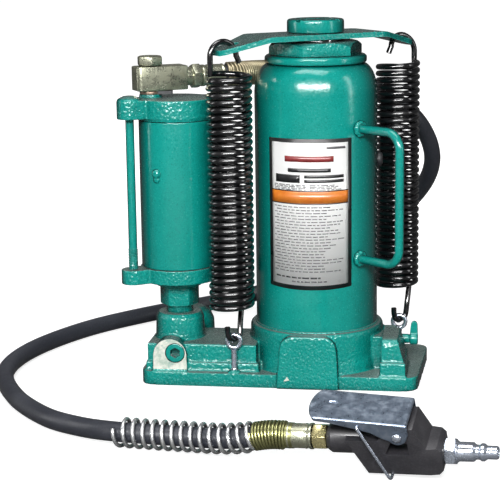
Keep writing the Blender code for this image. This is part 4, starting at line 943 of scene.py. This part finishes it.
def air_motor():
    lugged = at(PUMP_X, PUMP_Y) @ Matrix.Rotation(LUG_AZ, 4, "Z")
    reach = Vector((ROD_FRONT.x - PUMP_X, ROD_FRONT.y - PUMP_Y)).length
    lug_r = 8.8 * MM
    straight = at(PUMP_X, PUMP_Y)

    plate_top = 205.2 * MM
    shape = prism(lug_outline(27.6 * MM, lug_r, reach), 192 * MM, plate_top, None, lugged)
    drum(27.1, 190.2, 194, 96, straight, shape)
    for rod in (ROD_BACK, ROD_FRONT):
        dome = fillet(mm([(0, 192), (9.1, 192), (9.1, 206), (4, 208.3), (0, 208.6)]), {2: 2.2 * MM})
        lathe(dome, 40, shape, at(rod.x, rod.y))
    drum(8.2, 200, 207.8, 48, at(PORT.x, PORT.y), shape)
    made = cast(to_object("motor_cap", shape), MOTOR_VOXEL, 3)
    show(made, PAINT_CAST, "air_motor_cap", sharp=60)

    low, high = box("air_motor_base_flange")
    shape = prism(lug_outline(27.9 * MM, lug_r, reach), low.z, high.z, None, lugged)
    made = cast(to_object("motor_flange", shape), MOTOR_VOXEL, 4)
    show(made, PAINT_CAST, "air_motor_base_flange", sharp=60)

    low, high = box("air_cylinder")
    r = (high.x - low.x) / 2
    profile = fillet([(r - 2.5 * MM, low.z), (r, low.z), (r, high.z), (r - 2.5 * MM, high.z)], 0.8 * MM, True)
    show(to_object("motor_tube", lathe(profile, 128, None, straight)), PAINT, "air_cylinder")
    for node in ("tie_rod_front", "tie_rod_back"):
        rod = middle(node)
        low, high = box(node)
        shape = lathe(fillet([(0, low.z), (3.1 * MM, low.z), (3.1 * MM, high.z), (0, high.z)], 0.4 * MM), 32,
                      None, at(rod.x, rod.y))
        thread = [Vector((rod.x, rod.y, 0)) + polar(tau * i / 20, 3.1 * MM, 82.5 * MM + 1.2 * MM * i / 20)
                  for i in range(20 * 13)]
        sweep(thread, 0.42 * MM, 6, shape)
        show(to_object(node + "_bar", shape), PAINT, node, slot="green_paint")

    low, high = box("motor_return_spring")
    wire = 1.1 * MM
    coil_r, bottom, top = (high.x - low.x) / 2 - wire, low.z + wire, high.z - wire
    steps, turns = 32, 7
    coil = [Vector((PUMP_X, PUMP_Y, 0))
            + polar(tau * i / steps, coil_r, bottom + (top - bottom) * i / steps / turns)
            for i in range(steps * turns + 1)]
    made = to_object("motor_spring_wire", sweep(coil, wire, 10))
    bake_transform(made)
    show(made, STEEL, "motor_return_spring", rides=False, sharp=0)

    nub = middle("exhaust_plug")
    az = atan2(nub.y - PUMP_Y, nub.x - PUMP_X)
    shape = bmesh.new()
    base = Vector((PUMP_X, PUMP_Y, nub.z)) + polar(az, r - 1 * MM)
    lathe(mm([(0, 0), (3.6, 0), (3.5, 1.6), (2.6, 3.0), (1.4, 3.5), (0, 3.6)]), 32, shape,
          along(base, polar(az, 1)))
    drip = base - UP * 4.2 * MM
    lathe(mm([(0, 0), (2.8, 0), (2.6, 1.4), (1.6, 2.4), (0, 2.7)]), 32, shape, along(drip, polar(az, 1)))
    made = cast(to_object("exhaust_nub", shape), 0.3 * MM, 4)
    show(made, PAINT, "exhaust_plug", sharp=60)

    low, high = box("pump_housing")
    body = [(0, 48.3), (9.7, 48.3), (9.7, 54), (14.2, 54), (14.2, 68.4), (17.6, 68.5), (17.6, 72.2),
            (0, 72.2)]
    made = to_object("pump_neck", soft_lathe(body, {2: 0.6, 3: 1, 5: 1, 6: 1}, 96, straight))
    flats = []
    for side in range(6):
        cutter = block(mm3(12.5, -15, 50), mm3(16, 15, 66.8))
        cutter.transform(straight @ spin(60 * side + 38))
        flats.append(cutter)
    cut(made, *flats)
    bevel_edges(made, 0.4 * MM, 2, 30)
    show(made, PAINT_CAST, "pump_housing")


# ---------------------------------------------------------------- air inlet, hose and its guards

def inlet_point(reach):
    return Vector((PORT.x, PORT.y, INLET_Z)) + polar(INLET_AZ, reach)


def chamfered_hex(name, placed, flats, low, high, chamfer, turn, hole=0.0):
    """A nut: a hexagonal prism whose corners are turned down at both ends."""
    made = to_object("nut", prism(hexagon(flats, turn), low, high))
    corner = flats / sqrt(3)
    profile = [(0, low - MM), (corner - chamfer * 1.8, low - 0.01 * MM), (corner + 0.05 * MM, low + chamfer),
               (corner + 0.05 * MM, high - chamfer), (corner - chamfer * 1.8, high + 0.01 * MM),
               (0, high + MM)]
    boolean(made, "INTERSECT", lathe(profile, 64))
    if hole:
        cut(made, lathe([(0, low - MM), (hole, low - MM), (hole, high + MM), (0, high + MM)], 48))
    bevel_edges(made, 0.3 * MM, 2, 30)
    made.name = name
    made.data.transform(placed)
    return made


def inlet():
    half = 8.7 * MM
    c = 2.4 * MM
    outline = [(-12 * MM, -half + c), (-12 * MM + c, -half), (26 * MM, -half), (26 * MM, half),
               (-12 * MM + c, half), (-12 * MM, half - c)]
    made = to_object("inlet_cube", prism(outline, -half, half))
    bevel_edges(made, 0.9 * MM, 3, 30)
    made.data.transform(at(PORT.x, PORT.y, INLET_Z) @ Matrix.Rotation(INLET_AZ, 4, "Z"))
    show(made, YELLOW_ZINC, "inlet_block")

    over_port = at(PORT.x, PORT.y)
    made = chamfered_hex("inlet_bolt", over_port, 16.4 * MM, 228 * MM, box("banjo_bolt")[1].z, 1.1 * MM,
                         radians(20))
    show(made, YELLOW_ZINC, "banjo_bolt")
    low, high = box("port_washer")
    shape = lathe(fillet([(5.4 * MM, low.z - 0.2 * MM), (7.9 * MM, low.z - 0.2 * MM), (7.9 * MM, high.z),
                          (5.4 * MM, high.z)], 0.5 * MM, True), 48, None, over_port)
    show(to_object("inlet_washer", shape), COPPER, "port_washer")
    plate = prism(fillet(mm([(-3, -6), (16, -6), (16, 6), (-3, 6)]), 1.5 * MM, True), 207.9 * MM, 210.1 * MM)
    plate.transform(over_port @ spin(12))
    show(to_object("inlet_pad", bevel(plate, 0.3 * MM)), RUBBER, like="air_hose")

    axis = along(inlet_point(0), polar(INLET_AZ, 1))
    neck = soft_lathe([(2.6, 8), (5, 8), (5, 26.2), (6.6, 26.2), (6.6, 31.2), (2.6, 31.2)], 0.4, closed=True)
    made = to_object("fitting_neck", neck)
    made.data.transform(axis)
    show(made, YELLOW_ZINC, "hose_upper_fitting")
    made = chamfered_hex("fitting_hex", axis, 15.8 * MM, 31 * MM, 37.7 * MM, 0.9 * MM, radians(12), 2.6 * MM)
    show(made, YELLOW_ZINC, like="hose_upper_fitting")
    low, high = 37.9, 55.6
    tube = [(2.6, low), (7.0, low), (7.9, low + 0.8), (7.9, low + 3), (7.4, low + 3.6), (7.4, low + 4.6),
            (7.9, low + 5.2), (7.9, high - 3), (7.6, high - 2.2), (8.1, high - 1), (8.1, high), (6.9, high),
            (6.9, low + 4), (2.6, low + 4)]
    crimped_ferrule("ferrule_upper", "hose_upper_ferrule", axis, tube, (7.62, -2.2, low + 6),
                    (9, 2.2, high - 3.4), 0.2)


def crimped_ferrule(name, node, axis, tube, mark_low, mark_high, turn):
    """A swaged tube with eight flat crimp marks round it. Sizes are in millimetres, turn in radians."""
    made = to_object(name, lathe(fillet(mm(tube), 0.3 * MM, True, 3), 64))
    marks = [block(mm3(*mark_low), mm3(*mark_high)) for i in range(8)]
    for i, mark in enumerate(marks):
        mark.transform(Matrix.Rotation(tau * i / 8 + turn, 4, "Z"))
    cut(made, *marks)
    made.data.transform(axis)
    show(made, YELLOW_ZINC, node)


VALVE_AT = Vector((73.1, -222.4, 16.2)) * MM
VALVE = Matrix.Translation(VALVE_AT) @ spin(-10.3) @ spin(-3.4, "Y") @ spin(21, "X")
INLET_RISE = 8.2 * MM


def along_valve(z=0.0):
    return VALVE @ at(0, 0, z) @ spin(90, "Y")


def hose_path():
    loop = [(-46, 35, 218.5), (-22, 52, 217), (10, 66, 211), (42, 81, 199), (70, 99, 174), (80, 123, 141),
            (66, 150, 108), (28, 170, 73), (-20, 184, 38), (-70, 190, 14), (-110, 177, 7), (-152, 137, 7),
            (-195, 80, 7), (-222, 12, 7), (-224, -50, 7), (-200, -108, 7), (-168, -150, 7), (-141, -171, 7.8),
            (-112.5, -186, 9.7), (-66, -196, 11.2), (-33, -204.5, 13.6)]
    ends = [inlet_point(43 * MM), inlet_point(56 * MM), inlet_point(66 * MM)]
    leads = [VALVE @ Vector((x * MM, 0, INLET_RISE)) for x in (-82, -70, -57)]
    return ends + [Vector(point) * MM for point in loop] + leads


def stretch(path, spacing, first, last, place):
    """The part of an evenly spaced path from first to last metres past the point nearest to a place."""
    start = min(range(len(path)), key=lambda i: (path[i] - place).length)
    return path[start + int(first / spacing):start + int(last / spacing) + 1]


def hose():
    fine = curve_through(hose_path(), 24)
    even = resample(fine, 3 * MM)
    show(to_object("hose_skin", sweep(even, HOSE_R, 32)), HOSE, "air_hose", sharp=0)
    spacing = 0.5 * MM
    close = resample(fine, spacing)
    upper = stretch(close, spacing, 0, 43 * MM, inlet_point(59 * MM))
    ribs = sweep(coil_around(upper, 8.2 * MM, 2.05 * MM, 24), 0.95 * MM, 8)
    sweep(resample(upper, 2 * MM), 7.9 * MM, 24, ribs)
    show(to_object("guard_ribs_upper", ribs), TAN_ZINC, "hose_guard_upper", sharp=0)

    valve_end = VALVE @ Vector((-63 * MM, 0, INLET_RISE))
    backwards = list(reversed(close))
    lower = stretch(backwards, spacing, 2.5 * MM, 28.5 * MM, valve_end)
    ribbed = lower[int(5 * MM / spacing):]
    shape = sweep(coil_around(ribbed, 8.15 * MM, 2.05 * MM, 24), 1.0 * MM, 8)
    sweep(resample(lower, 2 * MM), 8 * MM, 24, shape)
    show(to_object("guard_ribs_lower", shape), OLIVE, "hose_guard_lower", sharp=60)
    spring = stretch(backwards, spacing, 28.8 * MM, 122.5 * MM, valve_end)
    coil = coil_around(spring, 8.7 * MM, 6.6 * MM, 28)
    made = to_object("guard_coil", sweep(coil, 1.3 * MM, 12))
    show(made, STEEL, "hose_guard_spring", sharp=0)


def hose_end():
    axis = along_valve(INLET_RISE)
    tube = [(3, -56.6), (3, -53.3), (8.1, -53.3), (8.1, -55), (7.6, -55.6), (7.6, -57), (7.95, -57.6),
            (7.95, -66), (7.5, -67), (8.1, -68), (8.1, -69), (6.85, -69), (6.85, -56.6)]
    crimped_ferrule("ferrule_lower", "hose_lower_ferrule", axis, tube, (7.66, -2.3, -66), (9, 2.3, -57.8),
                    0.1)
    made = chamfered_hex("hose_brass_nut", axis, 14.4 * MM, -52.9 * MM, -43.7 * MM, 0.9 * MM, radians(25),
                         3 * MM)
    show(made, BRASS, "hose_nut")


# ---------------------------------------------------------------- air valve

def valve_body():
    outline = mm([(-30, 14.7), (-18.8, -9.7), (24.6, -9.7), (27.2, -7.1), (27.2, 7.1), (24.6, 9.7),
                  (18.6, 9.7), (12, 24.2), (-4, 24.2), (-10, 14.7)])
    half = 11.4 * MM
    made = to_object("valve_moulding", prism(outline, -half, half, None, ACROSS))
    lengthwise = spin(90, "Y")
    boss = soft_lathe([(0, -43.3), (7.6, -43.3), (9.4, -40.6), (9.4, -22), (0, -22)], 0.5, 64,
                      at(0, 0, INLET_RISE) @ lengthwise)
    boolean(made, "UNION", boss)
    window = mm([(-6.5, 4.8), (7.8, 4.8), (7.8, 13.6), (-2.5, 13.6)])
    corner_cuts = []
    for sign in (-1, 1):
        cut_block = prism([(18.8 * MM, 9.4 * MM), (30 * MM, 9.4 * MM), (30 * MM, 7.4 * MM)], -12 * MM,
                          12 * MM)
        if sign < 0:
            cut_block.transform(Matrix.Scale(-1, 4, (0, 1, 0)))
            bmesh.ops.reverse_faces(cut_block, faces=cut_block.faces)
        cut_block.transform(at(0, sign * 2.1 * MM, 0))
        corner_cuts.append(cut_block)
    outlet = drum(5.6, 15, 32, 48, lengthwise)
    cut(made, prism(window, -12 * MM, 12 * MM, None, ACROSS), outlet, *corner_cuts)
    bevel_edges(made, 0.7 * MM, 3, 30)
    made.data.transform(VALVE)
    show(made, RESIN, "valve_body")
    sleeve = soft_lathe([(5.0, 18), (6.8, 18), (6.8, 27.4), (5.0, 27.4)], 0.3, 48, along_valve(), True)
    show(to_object("outlet_insert", sleeve), STEEL, like="lever_pivot_pin")


def lever():
    half, sheet = LEVER_HALF, 1.2 * MM
    cheek = [(-52, 31.4), (-38, 29.4), (-21, 25), (-12.5, 22.3), (-6.9, 18.8)]
    cheek += arc((2.9, 20.1), 5.9, 215, 350, 14) + [(9.7, 21.5)]
    outline = mm([(9.7, 28.9), (-52, 34.2)] + cheek)
    made = to_object("lever_plate", prism(list(reversed(outline)), -half, half, None, ACROSS))
    thumb = [(12 * MM, half + MM), (12 * MM, -half - MM)]
    thumb += [(-43.5 * MM - 8 * MM * cos(a), (half + MM) * sin(a))
              for a in map(radians, range(-90, 91, 6))]
    boolean(made, "INTERSECT", prism(thumb, 5 * MM, 45 * MM))
    bevel_edges(made, 1.1 * MM, 4, 60)
    inside = mm([(12, 27.5), (-60, 33.7), (-60, 0), (12, 0)])
    room = prism(list(reversed(inside)), -half + sheet, half - sheet, None, ACROSS)
    dimple = lathe(mm([(0, 0), (2.2, 0), (3.2, 1.0), (3.2, 3), (0, 3)]), 40)
    dimple.transform(Matrix.Translation(mm3(-37.5, 1.5, 32.35)) @ spin(4.9, "Y")
                     @ Matrix.Diagonal((1.3, 0.75, 1, 1)))
    cut(made, room, dimple)
    made.data.transform(VALVE)
    show(made, BLUE_ZINC, "valve_lever", sharp=45)
    made.modifiers.new("even_light", "WEIGHTED_NORMAL").keep_sharp = True

    edge = half + 0.3 * MM
    pin = [(0, -edge - 1.8 * MM), (1.6 * MM, -edge - 1.7 * MM), (2.8 * MM, -edge - 0.9 * MM),
           (3.1 * MM, -edge), (1.5 * MM, -edge), (1.5 * MM, edge), (3.1 * MM, edge),
           (2.8 * MM, edge + 0.9 * MM), (1.6 * MM, edge + 1.7 * MM), (0, edge + 1.8 * MM)]
    place = VALVE @ at(2.9 * MM, 0, 20.1 * MM) @ ACROSS
    show(to_object("lever_rivet", lathe(pin, 40, None, place)), BRIGHT, "lever_pivot_pin")

    profile = [(0, -3), (2, -3), (2, 28.9), (1.2, 29.7), (0, 29.7)]
    shape = soft_lathe(profile, {2: 0.3}, 32, VALVE @ at(-20 * MM, 0, 0))
    show(to_object("stem_rod", shape), STEEL, "valve_stem")


def bail():
    half = LEVER_HALF
    side = half + 1.3 * MM
    near = Vector((-20.2 * MM, -side, 27.6 * MM))
    under = Vector((-4.5 * MM, -side, -11.1 * MM))
    down = (under - near).normalized()
    path = [Vector((near.x, -half + MM, near.z)), near + Vector((0, 1.0 * MM, 0)),
            near + Vector((0, 0.2 * MM, 0)) + down * 0.5 * MM, near + down * 1.3 * MM]
    bend = 2.5 * MM
    for angle in map(radians, range(0, 91, 10)):
        path.append(under + Vector((0, bend * (1 - cos(angle)), 0)) + down * (bend * (sin(angle) - 1)))
    path += [Vector((p.x, -p.y, p.z)) for p in reversed(path)]
    made = to_object("bail_wire", sweep([VALVE @ p for p in path], 0.95 * MM, 16))
    show(made, BRIGHT, "lock_bail", sharp=60)


def air_plug():
    profile = fillet(mm([(0, 17), (5, 17), (5, 27.5), (6.8, 27.5), (6.8, 34.8), (5.9, 36), (5.9, 44.5),
                         (4.5, 46.2), (4.5, 48.2), (5.4, 49.2), (5.4, 51), (4.1, 52.8), (4.1, 58.4),
                         (3.5, 59.4), (2.5, 59.4), (2.5, 32), (0, 32)]), 0.35 * MM, False, 3)
    shape = lathe(profile, 64)
    shape.transform(along_valve())
    show(to_object("plug_stem", shape), BRIGHT, "air_plug")
    made = chamfered_hex("plug_hex", along_valve(), 15.2 * MM, 27.5 * MM, 34.6 * MM, 1.0 * MM, radians(80),
                         5.5 * MM)
    show(made, BRIGHT, like="air_plug")


# ---------------------------------------------------------------- CAD nodes that stay as they are

def dress_hidden_nodes():
    """Inner and small nodes keep their CAD shape and get the matching look."""
    looks = {"rubber": RUBBER, "steel": STEEL, "chrome": CHROME, "black_steel": SPRING_BLACK,
             "copper": COPPER, "brass": BRASS, "yellow_zinc": YELLOW_ZINC, "green_paint": PAINT,
             "black_resin": RESIN, "label": LABEL_WHITE}
    for name, node in frame["nodes"].items():
        if node.hide_render:
            continue
        node.data.materials.clear()
        node.data.materials.append(looks[SLOT_OF[name]])


# ---------------------------------------------------------------- floor, light and camera

def stage():
    floor = bmesh.new()
    bmesh.ops.create_grid(floor, x_segments=1, y_segments=1, size=6)
    ground = to_object("studio_floor", floor)
    look = Look("floor_white", (0.5, 0.5, 0.5), 0.0, 0.8)
    seen = look.add("LightPath").outputs["Is Camera Ray"]
    grain = look.noise(3, 2)
    pale = look.mix(grain, (0.47, 0.47, 0.47), (0.50, 0.50, 0.50))
    look.set(look.shader, "Base Color", look.mix(seen, (0.12, 0.12, 0.12), pale))
    look.set(look.shader, "Emission Color", (1, 1, 1, 1))
    away = look.add("VectorMath", {"operation": "LENGTH"}, i0=look.place).outputs["Value"]
    look.set(look.shader, "Emission Strength",
             look.math("MULTIPLY", seen, look.span(away, 0.3, 0.9, 0.80, 1.0)))
    look.bump(grain, 0.02, 1 * MM)
    ground.data.materials.append(look.material)

    world = bpy.data.worlds.new("studio")
    bpy.context.scene.world = world
    world.use_nodes = True
    tree = world.node_tree
    background = tree.nodes["Background"]
    rays = tree.nodes.new("ShaderNodeLightPath")
    glossy = tree.nodes.new("ShaderNodeMapRange")
    glossy.inputs[3].default_value, glossy.inputs[4].default_value = 0.06, 0.12
    tree.links.new(rays.outputs["Is Glossy Ray"], glossy.inputs[0])
    seen = tree.nodes.new("ShaderNodeMapRange")
    seen.inputs[4].default_value = 1.0
    tree.links.new(rays.outputs["Is Camera Ray"], seen.inputs[0])
    tree.links.new(glossy.outputs[0], seen.inputs[3])
    tree.links.new(seen.outputs[0], background.inputs["Color"])
    background.inputs["Strength"].default_value = 1.0

    for name, place, size, power, lit, mirrored in (
            ("key_softbox", (0.06, -1.75, 1.0), (0.7, 0.5), 35, True, False),
            ("top_softbox", (0.0, 0.0, 2.0), (1.4, 1.2), 12, True, False),
            ("overhead_glint", (-0.15, -0.45, 1.9), (1.5, 0.8), 30, False, True),
            ("front_glint", (0.02, -1.85, 0.86), (2.0, 0.28), 125, False, True),
            ("right_strip", (1.7, -0.5, 0.7), (0.25, 1.4), 8, False, True),
            ("left_strip", (-1.7, -0.2, 0.6), (0.25, 1.2), 6, False, True),
            ("back_softbox", (-0.4, 1.7, 1.1), (0.9, 0.7), 16, True, False)):
        light = bpy.data.lights.new(name, "AREA")
        light.shape = "RECTANGLE"
        light.size, light.size_y = size
        light.energy = power
        lamp = bpy.data.objects.new(name, light)
        lamp.location = place
        lamp.rotation_euler = (Vector((0, 0, 0.12)) - Vector(place)).to_track_quat("-Z", "Y").to_euler()
        lamp.visible_diffuse, lamp.visible_glossy = lit, mirrored
        bpy.context.scene.collection.objects.link(lamp)


CAMERA_AT = (0.1176, -1.1540, 0.3315)
CAMERA_VIEW = (-0.1401, 0.9693, -0.2020)
CAMERA_ROLL = -0.013
CAMERA_LENS = 116.35


def camera():
    """The photograph's point of view: metres, a direction, radians, and millimetres of lens."""
    forward = Vector(CAMERA_VIEW).normalized()
    right = forward.cross(UP).normalized()
    up = right.cross(forward)
    tilted = right * cos(CAMERA_ROLL) + up * sin(CAMERA_ROLL)
    top = tilted.cross(forward)
    turn = Matrix((tilted, top, -forward)).transposed().to_4x4()
    data = bpy.data.cameras.new("camera")
    data.sensor_width = 36
    data.lens = CAMERA_LENS
    data.clip_start, data.clip_end = 0.05, 50
    made = bpy.data.objects.new("camera", data)
    made.matrix_world = Matrix.Translation(CAMERA_AT) @ turn
    bpy.context.scene.collection.objects.link(made)
    bpy.context.scene.camera = made
    bpy.context.scene.view_settings.view_transform = "Standard"
    bpy.context.scene.view_settings.look = "None"


base_casting()
socket_screw("relief_screw", "safety_valve_screw", (0, -1, 0), 7 * MM, PAINT)
socket_screw("suction_plug", "suction_valve_plug", (0, 1, 0), 6 * MM, STEEL)
tank()
ram_parts()
return_spring("return_spring_left", SPRING_AZ + pi, Vector((EYE_LEFT.x, EYE_LEFT.y, EYE_LEFT_Z)),
              (3.7 * MM, 3.7 * MM), 0)
return_spring("return_spring_right", SPRING_AZ, Vector((EYE_RIGHT.x, EYE_RIGHT.y, EYE_RIGHT_Z)),
              (4.4 * MM, 7 * MM), 0.2)
eye_bolt("eye_bolt_left", EYE_LEFT_Z)
eye_bolt("eye_bolt_right", EYE_RIGHT_Z)
label()
handle()
filler_plug()
release_valve()
air_motor()
inlet()
hose()
hose_end()
valve_body()
lever()
bail()
air_plug()
dress_hidden_nodes()
stage()
camera()
